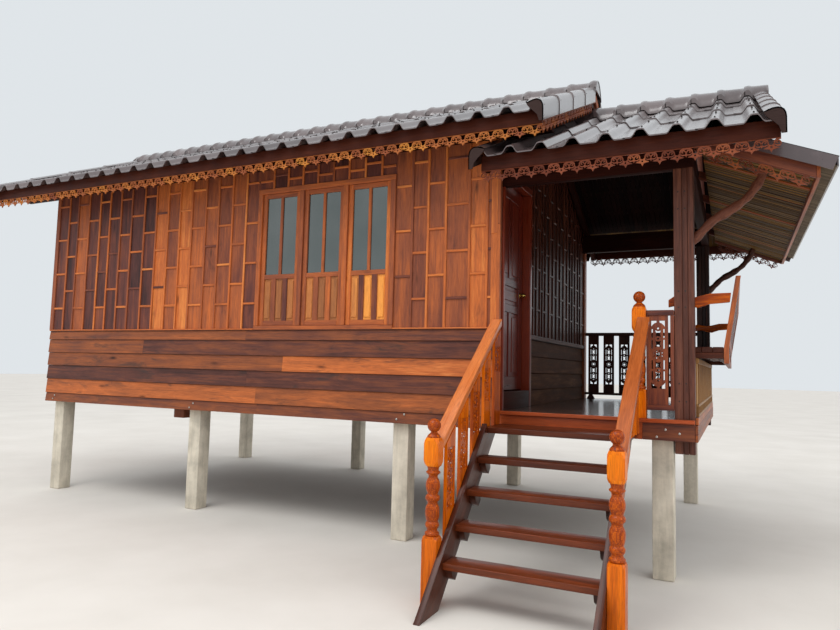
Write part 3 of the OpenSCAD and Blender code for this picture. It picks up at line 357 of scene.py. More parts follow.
def grain_uv(co, normal, axis):
    """Grain coordinates of a point on a face: along the axis, and across it."""
    if abs(normal.dot(axis)) > 0.75:
        b = axis.orthogonal().normalized()
        return co.dot(b) * 4.0, co.dot(axis.cross(b))
    return co.dot(axis), co.dot(normal.cross(axis))


class Piece:
    """One joined mesh of many boards or other solids, each with its grain axis, tone and seed."""
    def __init__(self, name):
        self.name = name
        self.verts, self.faces, self.uvs, self.tones, self.seeds = [], [], [], [], []
        self.rng = random.Random(name)

    def add(self, verts, faces, axis, tone=0.5, seed=None):
        base = len(self.verts)
        verts = [Vector(v) for v in verts]
        axis = Vector(axis).normalized()
        seed = self.rng.random() if seed is None else seed
        self.verts += verts
        for f in faces:
            pts = [verts[i] for i in f]
            nrm = Vector((0, 0, 0))
            for a, b in zip(pts, pts[1:] + pts[:1]):
                nrm += a.cross(b)
            nrm = nrm.normalized() if nrm.length > 1e-12 else Vector(Z)
            self.faces.append([base + i for i in f])
            self.uvs += [grain_uv(p, nrm, axis) for p in pts]
            self.tones.append(tone)
            self.seeds.append(seed)

    def box(self, a, b, axis=X, tone=0.5, c=0.003):
        """Board between two corners, its grain along the axis, with its edges cut off by c."""
        lo = [min(p, q) for p, q in zip(a, b)]
        hi = [max(p, q) for p, q in zip(a, b)]
        c = min([c] + [0.3 * (h - l) for l, h in zip(lo, hi)])
        ends, cut = (lo, hi), (c, -c)
        index, verts, faces = {}, [], []
        for i in range(3):
            j, k = (i + 1) % 3, (i + 2) % 3
            for s, sj, sk in product((0, 1), repeat=3):
                p = [0, 0, 0]
                p[i], p[j], p[k] = ends[s][i], ends[sj][j] + cut[sj], ends[sk][k] + cut[sk]
                index[(i, s, j, sj, k, sk)] = index[(i, s, k, sk, j, sj)] = len(verts)
                verts.append(p)
        for i in range(3):
            j, k = (i + 1) % 3, (i + 2) % 3
            for s in (0, 1):
                faces.append([index[(i, s, j, x, k, y)] for x, y in ((0, 0), (1, 0), (1, 1), (0, 1))])
                for sj in (0, 1):
                    faces.append([index[(i, s, j, sj, k, 0)], index[(i, s, j, sj, k, 1)],
                                  index[(j, sj, i, s, k, 1)], index[(j, sj, i, s, k, 0)]])
        for sx, sy, sz in product((0, 1), repeat=3):
            faces.append([index[(0, sx, 1, sy, 2, sz)], index[(1, sy, 2, sz, 0, sx)],
                          index[(2, sz, 0, sx, 1, sy)]])
        self.add(verts, faces, axis, tone)

    def loft(self, rings, axis, tone=0.5, seed=None):
        """Skin over equal rings of points, with flat ends."""
        m, n = len(rings[0]), len(rings)
        faces = []
        for r in range(n - 1):
            for i in range(m):
                k = (i + 1) % m
                faces.append([r * m + i, r * m + k, (r + 1) * m + k, (r + 1) * m + i])
        faces += [list(range(m))[::-1], [(n - 1) * m + i for i in range(m)]]
        self.add([p for ring in rings for p in ring], faces, axis, tone, seed)

    def prism(self, poly, to3, d0, d1, axis, tone=0.5):
        """Outline in a plane, pushed from depth d0 to d1."""
        self.loft([[to3(u, v, d) for u, v in poly] for d in (d0, d1)], axis, tone)

    def lathe(self, centre, profile, tone=0.5, seg=32):
        """Turned form about an upright line; profile is radius and height."""
        x, y, z = centre
        self.loft([[(x + r * c, y + r * s, z + h) for c, s in circle(seg)] for r, h in profile], Z, tone)

    def knob(self, centre, direction, radius, height, seg=10):
        """Small domed head that stands out along a direction."""
        d = Vector(direction).normalized()
        a = d.orthogonal().normalized()
        b = d.cross(a)
        middle = Vector(centre)
        self.loft([[middle + d * (height * h) + (a * c + b * s) * radius * r for c, s in circle(seg)]
                   for r, h in ((1.0, -0.3), (1.0, 0.35), (0.8, 0.75), (0.4, 1.0))], d, 0.5)

    def make(self, material, slot=None, body="house", replaces=()):
        mesh = bpy.data.meshes.new(self.name)
        mesh.from_pydata([v + SHIFT for v in self.verts], [], self.faces)
        layer = mesh.uv_layers.new(name="grain")
        layer.data.foreach_set("uv", [c for uv in self.uvs for c in uv])
        for name, values in (("tone", self.tones), ("seed", self.seeds)):
            mesh.attributes.new(name, "FLOAT", "FACE").data.foreach_set("value", values)
        bm = bmesh.new()
        bm.from_mesh(mesh)
        bmesh.ops.recalc_face_normals(bm, faces=bm.faces)
        bm.to_mesh(mesh)
        bm.free()
        put(self.name, mesh, material, body, replaces)


def dress(node, material, bevel=0.004, tone=0.5, body="house"):
    """Copies a node's own shape with softened edges and grain along each solid's length."""
    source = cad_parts[node]
    bm = bmesh.new()
    bm.from_mesh(source.data)
    bmesh.ops.remove_doubles(bm, verts=bm.verts, dist=1e-5)
    bmesh.ops.dissolve_limit(bm, angle_limit=math.radians(1.0), verts=bm.verts, edges=bm.edges)
    edges = [e for e in bm.edges if len(e.link_faces) == 2 and e.calc_face_angle() > math.radians(40)]
    bmesh.ops.bevel(bm, geom=edges, offset=bevel, segments=2, profile=0.6, affect="EDGES", clamp_overlap=True)
    bmesh.ops.recalc_face_normals(bm, faces=bm.faces)
    rng = random.Random(node)
    uv = bm.loops.layers.uv.new("grain")
    tones = bm.faces.layers.float.new("tone")
    seeds = bm.faces.layers.float.new("seed")
    seen = set()
    for start in bm.faces:
        if start in seen:
            continue
        group, stack = [], [start]
        seen.add(start)
        while stack:
            f = stack.pop()
            group.append(f)
            for e in f.edges:
                for g in e.link_faces:
                    if g not in seen:
                        seen.add(g)
                        stack.append(g)
        co = np.array([v.co for f in group for v in f.verts])
        axis = Vector(np.linalg.svd(co - co.mean(0), full_matrices=False)[2][0])
        t, s = tone + rng.uniform(-0.12, 0.12), rng.random()
        for f in group:
            f[tones], f[seeds] = t, s
            for loop in f.loops:
                loop[uv].uv = grain_uv(loop.vert.co, f.normal, axis)
    mesh = bpy.data.meshes.new(node + "_look")
    bm.to_mesh(mesh)
    bm.free()
    return put(node + "_look", mesh, material, body, [node])


# ---------------------------------------------------------------- camera
def camera():
    """The photo's viewpoint: focal length in pixels of a picture 840 wide, turn, pitch and roll."""
    focal, wide = 656.063, 840
    yaw, pitch, roll = (math.radians(a) for a in (25.6787, 4.7284, -1.4001))
    forward = Vector((-math.sin(yaw) * math.cos(pitch), math.cos(yaw) * math.cos(pitch), math.sin(pitch)))
    right = Vector((math.cos(yaw), math.sin(yaw), 0))
    down = forward.cross(right)
    rolled = right * math.cos(roll) + down * math.sin(roll)
    down = down * math.cos(roll) - right * math.sin(roll)
    data = bpy.data.cameras.new("view")
    data.sensor_fit = "HORIZONTAL"
    data.sensor_width = 36.0
    data.lens = focal / wide * data.sensor_width
    data.clip_end = 200
    cam = bpy.data.objects.new("view", data)
    place = Matrix((rolled, -down, -forward)).transposed().to_4x4()
    place.translation = Vector((7.3210, -5.1106, 1.4779)) + SHIFT
    cam.matrix_world = place
    bpy.context.scene.collection.objects.link(cam)
    bpy.context.scene.camera = cam


camera()


# ---------------------------------------------------------------- roof
def bump_profile(x, first):
    """Height of the tile's wave, from 0 in the flat valley to 1 on the rounded crest."""
    q = abs((x - first) / PITCH - round((x - first) / PITCH))
    if q < 0.06:
        return 1.0
    if q > 0.28:
        return 0.0
    return 0.5 + 0.5 * math.cos(math.pi * (q - 0.06) / 0.22)


def tiles(p, a0, a1, first, b0, b1, top, back, seed):
    """Courses of double-roll tiles, from a0 to a1 along the eave and from b0 to b1 up the slope."""
    tilt, thick, lap, side_lap, steps_per_roll = 0.013, 0.0095, 0.055, 0.018, 24
    rng = random.Random(seed)
    course = 0
    b = b0
    while b < b1 - 0.03:
        e = min(b + COURSE + lap, b1)
        start = first - PITCH / 2 - (PITCH if course % 2 else 0) - 4 * PITCH
        while start < a1:
            lo, hi = max(start, a0), min(start + 2 * PITCH + side_lap, a1)
            if hi - lo > 0.02:
                steps = max(2, int((hi - lo) / PITCH * steps_per_roll))
                tone = rng.random()
                rings = []
                for i in range(steps + 1):
                    a = lo + (hi - lo) * i / steps
                    side = 0.003 * (a - start) / (2 * PITCH)
                    drop = WAVE * (1 - bump_profile(a, first)) + 0.001 + side
                    rings.append([(a, flip(q, back), crest(top, q) - drop - low - t) for q, low, t in
                                  ((b, 0.0, 0.0), (e, tilt, 0.0), (e, tilt, thick), (b, 0.0, thick))])
                p.loft(rings, UP_SLOPE, tone)
            start += 2 * PITCH
        b += COURSE
        course += 1


def screws(p, a0, a1, first, b0, b1, top, back):
    """Two screws on each roll of every course."""
    out = (0, 0.41 if back else -0.41, 0.91)
    for course, step in product(range(3), (0.11, 0.53)):
        b = b0 + course * COURSE + step
        k = math.ceil((a0 + 0.05 - first) / PITCH)
        while b < b1 and first + k * PITCH < a1 - 0.05:
            p.knob((first + k * PITCH, flip(b, back), crest(top, b) - 0.006), out, 0.0065, 0.010, 8)
            k += 1


roof_tiles = Piece("main_tiles")
porch_tiles = Piece("porch_tiles")
tile_screws = Piece("tile_screws")
for back in (False, True):
    tiles(roof_tiles, -0.665, 6.025, MAIN_ROLL, -0.45, 1.735, RIDGE, back, 1 + back)
    tiles(porch_tiles, ROOM + 0.002, 7.605, PORCH_ROLL, -0.49, 1.735, PORCH, back, 3 + back)
    tiles(porch_tiles, 5.52, ROOM + 0.001, PORCH_ROLL, -0.49, -0.005, PORCH, back, 5 + back)
    screws(tile_screws, -0.60, 5.95, MAIN_ROLL, -0.45, 1.6, RIDGE, back)
    screws(tile_screws, 6.10, 7.55, PORCH_ROLL, -0.49, 1.6, PORCH, back)
roof_tiles.make("tile", replaces=["main_roof"])
porch_tiles.make("tile", replaces=["porch_roof"])


def awning_board(p, x0, x1, y0, y1, high, low, tone):
    """Board along the awning's fall. high and low are its faces' drops from the awning's line."""
    p.loft([[(x, y, awn(x) - drop) for y, drop in ((y0, high), (y1, high), (y1, low), (y0, low))]
            for x in (x0, x1)], DOWN_AWNING, tone)


awning_tiles = Piece("awning_tiles")
y, y_end = -0.14, 3.64
while y < y_end - 1e-6:
    y1 = min(y + 0.315, y_end)
    for b, high, low in ((y1 - 0.0012, 0.007, 0.015), (y + 0.022, 0.0, 0.008)):
        awning_board(awning_tiles, END + 0.05, OUTER, y, b, high, low, awning_tiles.rng.random())
    y = y1
awning_tiles.loft([[(x, q, awn(x) - h) for x, h in ((OUTER - 0.009, 0.014), (OUTER, 0.014), (OUTER, 0.053),
                   (OUTER - 0.009, 0.053))] for q in (-0.14, y_end)], Y, 0.3)
awning_tiles.make("flash", replaces=["awning_roof"])


# Outline of a verge cap: inward distance from its outer face, and height above the crest line.
CAP_OUTER = [(0.0, -0.150), (0.0, -0.045), (0.004, -0.018), (0.014, 0.004), (0.030, 0.017),
             (0.050, 0.0235), (0.075, 0.022), (0.105, 0.014), (0.130, 0.002)]
CAP_INNER = [(0.124, -0.004), (0.100, 0.004), (0.074, 0.012), (0.052, 0.0135), (0.034, 0.008),
             (0.020, -0.004), (0.012, -0.022), (0.008, -0.048), (0.008, -0.150)]
# The plate that closes a run at the eave follows the cap's outside and then its own slanting foot.
CAP_PLATE = CAP_OUTER + [(0.126, -0.014), (0.112, -0.034), (0.078, -0.066), (0.046, -0.102), (0.032, -0.150)]


def verge_run(p, x_out, way, top, y0, y1, count):
    """Overlapping caps up both slopes. way is the outward direction along X."""
    step = (y1 - y0) / count
    for back in (False, True):
        for i in range(count):
            a, b = y0 + i * step, min(y0 + (i + 1) * step + 0.03, y1)
            rings = []
            for q, inset, lower in ((a, 0.0, 0.0), (a + 0.018, 0.0015, 0.0015), (b, 0.006, 0.009)):
                rings.append([(x_out - way * (d + inset * (1 - d / 0.13)), flip(q, back),
                               crest(top, q) + h - (lower if h > -0.14 else 0)) for d, h in CAP_OUTER + CAP_INNER])
            p.loft(rings, UP_SLOPE, p.rng.random())
            for h in (-0.035, -0.115):
                place = (x_out - way * 0.003, flip(a + 0.05, back), crest(top, a + 0.05) + h)
                p.knob(place, (way, 0, 0), 0.005, 0.002, 8)
        rings = [[(x_out - way * d, flip(q, back), crest(top, y0) + h) for d, h in CAP_PLATE]
                 for q in (y0, y0 + 0.010)]
        plates.loft(rings, X, 0.0)


RIDGE_CAP = [(0.150, 0.0), (0.150, 0.024), (0.128, 0.040), (0.104, 0.052), (0.078, 0.060), (0.050, 0.062),
             (0.022, 0.062)]


def ridge_run(p, x0, x1, top, first):
    """Ridge caps with a collar over each roll and lower edges that follow the tiles' wave."""
    wide, foot = RIDGE_CAP[0]
    k = math.floor((x0 - first) / PITCH)
    while first + k * PITCH < x1:
        c = first + k * PITCH
        a, b = max(c - 0.02, x0), min(c + PITCH - 0.012, x1)
        tone = p.rng.random()
        k += 1
        if b - a < 0.02:
            continue
        rings = []
        n = max(3, int((b - a) / 0.014))
        for i in range(n + 1):
            x = a + (b - a) * i / n
            t = x - c
            swell = 0.012 * math.exp(-((t - 0.012) / 0.030) ** 2) - 0.012 - 0.010 * max(0.0, min(1.0, t / PITCH))
            dip = WAVE * (1 - bump_profile(x, first)) * 0.92
            pts = []
            for d, h in RIDGE_CAP:
                f = (d / wide) ** 4
                z = top - d * TAN + h + 0.022 + swell * (1 - 0.4 * f) - (dip * f)
                if (d, h) == (wide, foot):
                    z = top - d * TAN - dip - 0.004
                pts.append((d, min(z, top + 0.072)))
            up = [(x, MID - d, z) for d, z in pts] + [(x, MID + d, z) for d, z in pts[::-1]]
            low = [(x, MID + d * 0.93, z - 0.012) for d, z in pts[1:]]
            low += [(x, MID - d * 0.93, z - 0.012) for d, z in pts[:0:-1]]
            rings.append(up + low)
        p.loft(rings, X, tone)
    stop = [(-d, d, h) for d, h in RIDGE_CAP] + [(d, d, h) for d, h in RIDGE_CAP[::-1]]
    for x in (x0 + 0.004, x1 - 0.016):
        p.loft([[(q, MID + side, top - d * TAN + h - 0.006) for side, d, h in stop] for q in (x, x + 0.012)], Y, 0.4)


caps = Piece("verge_and_ridge_caps")
plates = Piece("verge_end_plates")
verge_run(caps, -0.70, -1, RIDGE, -0.46, 1.598, 4)
verge_run(caps, 6.06, 1, RIDGE, -0.46, 1.598, 4)
verge_run(caps, 7.64, 1, PORCH, -0.50, 1.598, 5)
verge_run(caps, 5.485, -1, PORCH, -0.50, -0.004, 1)
caps.make("tile", replaces=["verge_caps"])
plates.make("plate", slot="roof_tile")
ridges = Piece("ridge_caps_look")
ridge_run(ridges, -0.70, 6.06, RIDGE, MAIN_ROLL)
ridge_run(ridges, 5.56, 7.64, PORCH, PORCH_ROLL)
ridges.make("tile", replaces=["ridge_caps"])

flash = Piece("awning_flashing")
for back in (False, True):
    y = -0.17
    skirt = [(7.205, 0.008), (7.955, 0.008), (7.917, -0.097), (7.205, -0.097)]
    flash.loft([[(x, flip(q, back), awn(x) + h) for x, h in skirt] for q in (y, y + 0.004)], DOWN_AWNING, 0.5)
    cover = ((y, 0.004), (y, 0.008), (y + 0.11, 0.0085), (y + 0.11, 0.0045))
    flash.loft([[(x, flip(q, back), awn(x) + h) for q, h in cover] for x in (7.205, 7.955)], DOWN_AWNING, 0.5)
    for x in (7.35, 7.62, 7.86):
        tile_screws.knob((x, flip(y + 0.001, back), awn(x) - 0.045), (0, 1 if back else -1, 0), 0.006, 0.001, 8)
flash.make("flash", replaces=["awning_caps"])
tile_screws.make("nail")


# ---------------------------------------------------------------- fretwork
def arc(cx, cy, r, a0, a1, n):
    return [(cx + r * math.cos(math.radians(a0 + (a1 - a0) * i / n)),
             cy + r * math.sin(math.radians(a0 + (a1 - a0) * i / n))) for i in range(n + 1)]


def ribbon(pts, width):
    """Left and right side of a band along a line of points; the band is narrower at its ends."""
    left, right = [], []
    for i, (x, y) in enumerate(pts):
        ax, ay = pts[max(i - 1, 0)]
        bx, by = pts[min(i + 1, len(pts) - 1)]
        d = math.hypot(bx - ax, by - ay) or 1.0
        w = width * (0.5 if 0 < i < len(pts) - 1 else 0.34)
        nx, ny = -(by - ay) / d * w, (bx - ax) / d * w
        left.append((x + nx, y + ny))
        right.append((x - nx, y - ny))
    return left, right


def cut_board(outline, holes, depth):
    """Flat board with holes, as points and faces centred on its own plane."""
    cu = bpy.data.curves.new("cut", "CURVE")
    cu.dimensions = "2D"
    cu.fill_mode = "BOTH"
    cu.extrude = depth / 2
    for pts in [outline] + holes:
        sp = cu.splines.new("POLY")
        sp.points.add(len(pts) - 1)
        sp.points.foreach_set("co", [c for x, y in pts for c in (x, y, 0.0, 1.0)])
        sp.use_cyclic_u = True
    ob = bpy.data.objects.new("cut", cu)
    mesh = bpy.data.meshes.new_from_object(ob)
    bm = bmesh.new()
    bm.from_mesh(mesh)
    bmesh.ops.remove_doubles(bm, verts=bm.verts, dist=2e-5)
    verts = [v.co.copy() for v in bm.verts]
    faces = [[v.index for v in f.verts] for f in bm.faces]
    bm.free()
    bpy.data.objects.remove(ob)
    bpy.data.curves.remove(cu)
    bpy.data.meshes.remove(mesh)
    return verts, faces


def ring(cx, cy, r, n=12):
    return [(cx + r * c, cy + r * s) for c, s in circle(n)]


def leaf_hole(cx, cy, length, width, angle):
    """Pointed leaf."""
    pts = []
    for i in range(12):
        t = i / 12 * 2 * math.pi
        u, v = math.cos(t) * length / 2, math.sin(t) * width / 2 * (1 - 0.55 * math.cos(t) ** 2)
        pts.append((cx + u * math.cos(angle) - v * math.sin(angle), cy + u * math.sin(angle) + v * math.cos(angle)))
    return pts


def mirrored(half):
    """Outline or line that is symmetrical about its middle, from its right half."""
    return half + [(-x, y) for x, y in half[::-1] if x > 1e-6]


FRET_STEP, FRET_THICK = 0.117, 0.010
# Pieces of the fretwork's motif: x from the middle of a hoop, y from the top edge.
STAR = cut_board(mirrored([(0.0, -0.0475), (0.009, -0.044), (0.0215, -0.027), (0.0195, -0.044), (0.0175, -0.053),
                           (0.029, -0.0600), (0.0465, -0.0665), (0.027, -0.0705), (0.0125, -0.0735),
                           (0.0065, -0.081), (0.0, -0.0945)]), [ring(0.0, -0.0605, 0.0072, 9)], 0.011)
HOOP = [(0.0, -0.0065), (0.021, -0.008), (0.034, -0.0145), (0.0395, -0.026), (0.0395, -0.040)]
CURL = [(0.0, -0.042), (0.0035, -0.029), (0.011, -0.0195), (0.0205, -0.0180), (0.0275, -0.0240), (0.0260, -0.0320),
        (0.0180, -0.0325)]
WING = [(0.037, -0.044), (0.022, -0.0515), (0.003, -0.0495)]
STEM = [(0.0, -0.033), (0.0085, -0.046), (0.0, -0.066), (-0.0085, -0.046)]


def fret_run(p, a0, a1, z_of, to3, axis, tones):
    """Fretwork under an eave: hoops with two curls between hanging stars. z_of(a) is the top edge."""
    n = round((a1 - a0) / FRET_STEP)
    w = (a1 - a0) / n
    s = w / FRET_STEP

    def strip(line, width, tone, seed, d0, d1):
        rings = []
        for (lx, ly), (rx, ry) in zip(*ribbon(line, width)):
            rings.append([to3(lx, z_of(lx) + ly, d0), to3(rx, z_of(rx) + ry, d0),
                          to3(rx, z_of(rx) + ry, d1), to3(lx, z_of(lx) + ly, d1)])
        p.loft(rings, axis, tone, seed)
    edge = [(a0 + (a1 - a0) * i / n, -0.002) for i in range(n + 1)]
    strip(edge, 0.004, sum(tones) / 2, 0.3, 0.0, FRET_THICK)
    for k in range(n + 1):
        mid = a0 + k * w
        seed = p.rng.random()
        tone = p.rng.uniform(*tones) + (0.12 if p.rng.random() < 0.12 else 0.0)
        sides = [g for g in (-1, 1) if 0 <= k + (g - 1) / 2 < n]
        hoop = [(mid + q * s, z) for q, z in HOOP]
        if len(sides) == 2:
            hoop = [(2 * mid - q, z) for q, z in hoop[:0:-1]] + hoop
        elif sides == [-1]:
            hoop = [(2 * mid - q, z) for q, z in hoop]
        strip(hoop, 0.0092, tone, seed, 0.0003, FRET_THICK - 0.0004)
        for g in sides:
            strip([(mid + g * q * s, z) for q, z in CURL], 0.0078, tone, seed, 0.0006, FRET_THICK - 0.0007)
            strip([(mid + g * q * s, z) for q, z in WING], 0.0082, tone, seed, 0.0009, FRET_THICK - 0.0010)
        if len(sides) == 2:
            p.loft([[to3(mid + q * s, z_of(mid + q * s) + z, d) for q, z in STEM]
                    for d in (0.0012, FRET_THICK - 0.0013)], axis, tone, seed)
        if k < n:
            x = mid + w / 2
            verts, faces = STAR
            p.add([to3(x + v.x * s, z_of(x + v.x * s) + v.y, FRET_THICK / 2 + v.z) for v in verts], faces,
                  axis, tone, seed)


frets = Piece("eave_fretwork")
verge_frets = Piece("verge_fretwork")
main_z = crest(RIDGE, -0.375) - 0.066 - 0.110 - 0.0006
porch_z = crest(PORCH, -0.415) - 0.066 - 0.120 - 0.0006
for back in (False, True):
    shade = 0.3 if back else 0.0
    for a0, a1, z_of, y, axis, low, high in (
            (-0.67, 6.03, lambda a: main_z, -0.3685, X, 0.42, 0.74),
            (5.56, 7.61, lambda a: porch_z, -0.4085, X, 0.08, 0.36),
            (7.15, 7.79, lambda a: awn(a) - 0.1645, -0.1195, DOWN_AWNING, 0.12, 0.4)):
        fret_run(frets, a0, a1, z_of, lambda a, z, d: (a, flip(y + d, back), z), axis, (low - shade, high - shade))
    for x, stop in ((-0.664, 1.749), (6.012, 1.595)):
        fret_run(verge_frets, -0.349, stop, lambda a: crest(RIDGE, a) - 0.1665,
                 lambda a, z, d: (x + d, flip(a, back), z), UP_SLOPE, (0.2, 0.5))
frets.make("fret", replaces=["fretwork"])
verge_frets.make("fret")

for node, mat, bevel, tone in (("fascias", "fascia", 0.004, 0.5), ("barge_boards", "wall", 0.004, 0.6),
                               ("rafters", "dark", 0.004, 0.35), ("porch_rafters", "shade", 0.004, 0.5),
                               ("battens", "dark", 0.003, 0.4), ("wall_plates", "shade", 0.004, 0.5),
                               ("porch_beams", "shade", 0.005, 0.5), ("porch_tie", "shade", 0.005, 0.5),
                               ("awning_frame", "wall", 0.004, 0.34), ("girders", "dark", 0.004, 0.5),
                               ("joists", "dark", 0.004, 0.4), ("wall_posts", "dark", 0.005, 0.6)):
    look = dress(node, mat, bevel, tone)
    if node == "battens":
        # Their tops are shown lower, so that the tilted ends of the tile courses cover them.
        for v in look.data.vertices:
            for top in (RIDGE, PORCH):
                if abs(crest(top, v.co.y - SHIFT.y) - v.co.z - BATTEN_TOP) < 0.012:
                    v.co.z -= BATTEN_DROP
dress("posts", "concrete", 0.008)

lining = Piece("roof_lining")
ceiling = Piece("porch_ceiling")
for back in (False, True):
    x = ROOM + 0.02
    while x < 7.56:
        x1 = min(x + 0.052, 7.575)
        for p, ya, yb, t in ((lining, -0.385, 0.0, (0.2, 0.75)), (ceiling, 0.0005, 1.74, (0.0, 0.3))):
            z0 = [(y, crest(PORCH, y) - UNDER_ROOF) for y in (ya, yb)]
            p.loft([[(x, flip(y, back), z), (x1 - 0.003, flip(y, back), z), (x1 - 0.003, flip(y, back), z + 0.008),
                     (x, flip(y, back), z + 0.008)] for y, z in z0], UP_SLOPE, p.rng.uniform(*t))
        x = x1
# The porch ceiling boards take the near-black shade wood: painted shade.
ceiling.make("shade", slot="frame_timber")
y, row = -0.094, 0
while y < 3.59:
    orange = row in (17, 18, 76, 77, 140)
    y1 = min(y + lining.rng.uniform(0.016, 0.026), 3.594)
    d = 0.131 + (0.008 if orange else lining.rng.uniform(0.0, 0.006))
    t = 1.0 if orange else lining.rng.choice((0.15, 0.3, 0.45, 0.6, 0.78)) + lining.rng.uniform(-0.08, 0.08)
    awning_board(lining, END + 0.045, 7.829, y, y1 - 0.0015, d, d - 0.006, t)
    y = y1
    row += 1
lining.make("reed")
soffit = Piece("awning_soffit")
y = -0.138
while y < 3.63:
    y1 = min(y + 0.024, 3.638)
    awning_board(soffit, 7.858, OUTER - 0.0095, y, y1 - 0.0015, 0.054, 0.048, soffit.rng.uniform(0.2, 0.8))
    y = y1
soffit.make("soffit")


def under_roof(top, y):
    return crest(top, y) - UNDER_ROOF


gable = Piece("porch_gable_boards")
y, y_end, foot = 0.14, 3.36, 3.2503
while y < y_end - 1e-6:
    y1 = min(y + 0.1464, y_end)
    poly = [(y, foot), (y1 - 0.002, foot), (y1 - 0.002, under_roof(PORCH, y1 - 0.002))]
    if y < MID < y1:
        poly.append((MID, under_roof(PORCH, MID)))
    poly.append((y, under_roof(PORCH, y)))
    gable.prism(poly, lambda u, v, d: (7.01 + d, u, v), 0.0, 0.025, Z, gable.rng.uniform(0.15, 0.5))
    y = y1
gable.make("wall", replaces=["porch_gable"])


# ---------------------------------------------------------------- walls
# Each wall's own map: u along the wall, d outward from its face, z up.
FACES = {"front": lambda u, d, z: (u, SETB - d, z), "right": lambda u, d, z: (ROOM + d, u, z),
         "left": lambda u, d, z: (-d, u, z), "back": lambda u, d, z: (u, DEPTH + d, z)}


def along(kind):
    return X if kind in ("front", "back") else Y


def columns(p, strips, kind, edges, low, top, tones, rows=((2.09, 2.497, 2.904, 3.311), (2.293, 2.70, 3.107)),
            thick=0.06, start=0, strip_tone=0.74, more=()):
    """Upright boards with battens over their joints and short battens across them.

    rows holds the heights of the short battens on every first and every second board, more adds to both.
    """
    to3 = FACES[kind]
    rng = p.rng
    cross = [list(rows[0]) + list(more), list(rows[1]) + [r + 0.2 for r in more]]
    for i, (u0, u1) in enumerate(zip(edges, edges[1:])):
        a, b = u0 + 0.0007, u1 - 0.0007
        t0, t1 = top(u0), top(u1)
        head = [(b, t1)] + ([(MID, top(MID))] if u0 < MID < u1 and abs(t0 - top(MID)) > 1e-4 else []) + [(a, t0)]
        tone = tones[i % len(tones)]
        ends = [z for z in cross[(i + start) % 2] if low + 0.05 < z < min(t0, t1) - 0.03]
        for z0, z1 in zip([low] + ends, ends + [None]):
            part = [(a, z0), (b, z0)] + (head if z1 is None else [(b, z1), (a, z1)])
            p.prism(part, lambda u, v, d: to3(u, d, v), -thick, 0.0, Z, tone + rng.uniform(-0.09, 0.09))
        for z in ends:
            t = strip_tone + rng.uniform(-0.12, 0.12) if rng.random() > 0.14 else 0.3
            strips.box(to3(u0 + 0.009, -0.002, z - 0.011), to3(u1 - 0.009, 0.011, z + 0.011), along(kind), t, 0.004)
    for u in edges[1:-1]:
        t = strip_tone + rng.uniform(-0.2, 0.12) if rng.random() > 0.1 else 0.45
        strips.box(to3(u - 0.011, -0.002, low), to3(u + 0.011, 0.013, top(u) - 0.004), Z, t, 0.004)


def laps(p, kind, u0, u1, seams, tones, thick=WALL, out=0.0, joints=()):
    """Horizontal boards from u0 to u1 between seams, from the top down. joints are pairs of row and place."""
    to3 = FACES[kind]
    for i, (hi, lo) in enumerate(zip(seams, seams[1:])):
        cuts = [u0] + sorted(j for r, j in joints if r == i) + [u1]
        sec = [(out - thick, lo), (out - 0.002, lo), (out, lo + 0.003), (out - 0.012, hi - 0.004),
               (out - 0.016, hi - 0.001), (out - thick, hi - 0.001)]
        tone = tones[i % len(tones)]
        for k, (a, b) in enumerate(zip(cuts, cuts[1:])):
            t = tone[k % len(tone)] if isinstance(tone, tuple) else tone
            a += 0.0006 if k else 0
            p.loft([[to3(u, d, z) for d, z in sec] for u in (a, b)], along(kind), t + p.rng.uniform(-0.03, 0.03))


def level(u):
    """Top of a wall that ends at the same height everywhere."""
    return WALL_TOP


def gable_top(y):
    """Top of a wall that ends at the main roof."""
    return under_roof(RIDGE, y)


front_edges = [0.0, .198, .355, .543, .728, .892, 1.069, 1.243, 1.443, 1.624, 1.801, 1.975, 2.144, 2.338, 2.513,
               2.698, 2.878, WIN_L]
middle_edges = [WIN_L, 3.215, 3.39, 3.565, 3.74, 3.915, 4.09, 4.265, 4.44, WIN_R]
right_edges = [WIN_R, 4.76, 4.914, 5.084, 5.303, 5.462, ROOM]
front_tones = [0.24, 0.22, 0.56, 0.24, 0.26, 0.22, 0.24, 0.24, 0.22, 0.70, 0.52, 0.78, 0.58, 0.52, 0.50, 0.50, 0.34]
panels = Piece("wall_boards_upright")
battens = Piece("wall_battens")
rims = Piece("rim_boards")
columns(panels, battens, "front", front_edges, SILL, level, front_tones)
columns(panels, battens, "front", right_edges, SILL, level, [0.54, 0.46, 0.48, 0.50, 0.72, 0.5], start=1)
columns(panels, battens, "front", middle_edges, WIN_TOP, level, [0.36, 0.22, 0.3], ((3.311,), (3.36,)))
more_rows = (3.718, 4.125)
side_edges = [WALL + 0.1757 * i for i in range(19)] + [3.42]
columns(panels, battens, "left", side_edges, SILL, gable_top, [0.2, 0.14, 0.45, 0.3, 0.12, 0.5, 0.36], thick=WALL,
        more=more_rows)
back_edges = [0.0] + [0.178 * i for i in range(1, 31)] + [ROOM]
columns(panels, battens, "back", back_edges, SILL, level, [0.4, 0.2, 0.5, 0.34, 0.16, 0.44, 0.28], thick=WALL)
right_cols = [0.931, 1.059, 1.172, 1.306, 1.396, 1.508, 1.662, 1.815, 1.975, 2.135, 2.301, 2.473, 2.628, 2.755,
              2.903, 3.065, 3.196, 3.42]
dark_panels = Piece("porch_wall_boards")
porch_laps = Piece("porch_wall_laps")
dark_battens = Piece("porch_wall_battens")
# The porch wall's boards and battens take the darker gloss wood: painted shade under the porch roof.
columns(dark_panels, dark_battens, "right", right_cols, 1.832, gable_top, [0.45, 0.3, 0.5, 0.38], thick=WALL,
        more=more_rows, strip_tone=0.55)
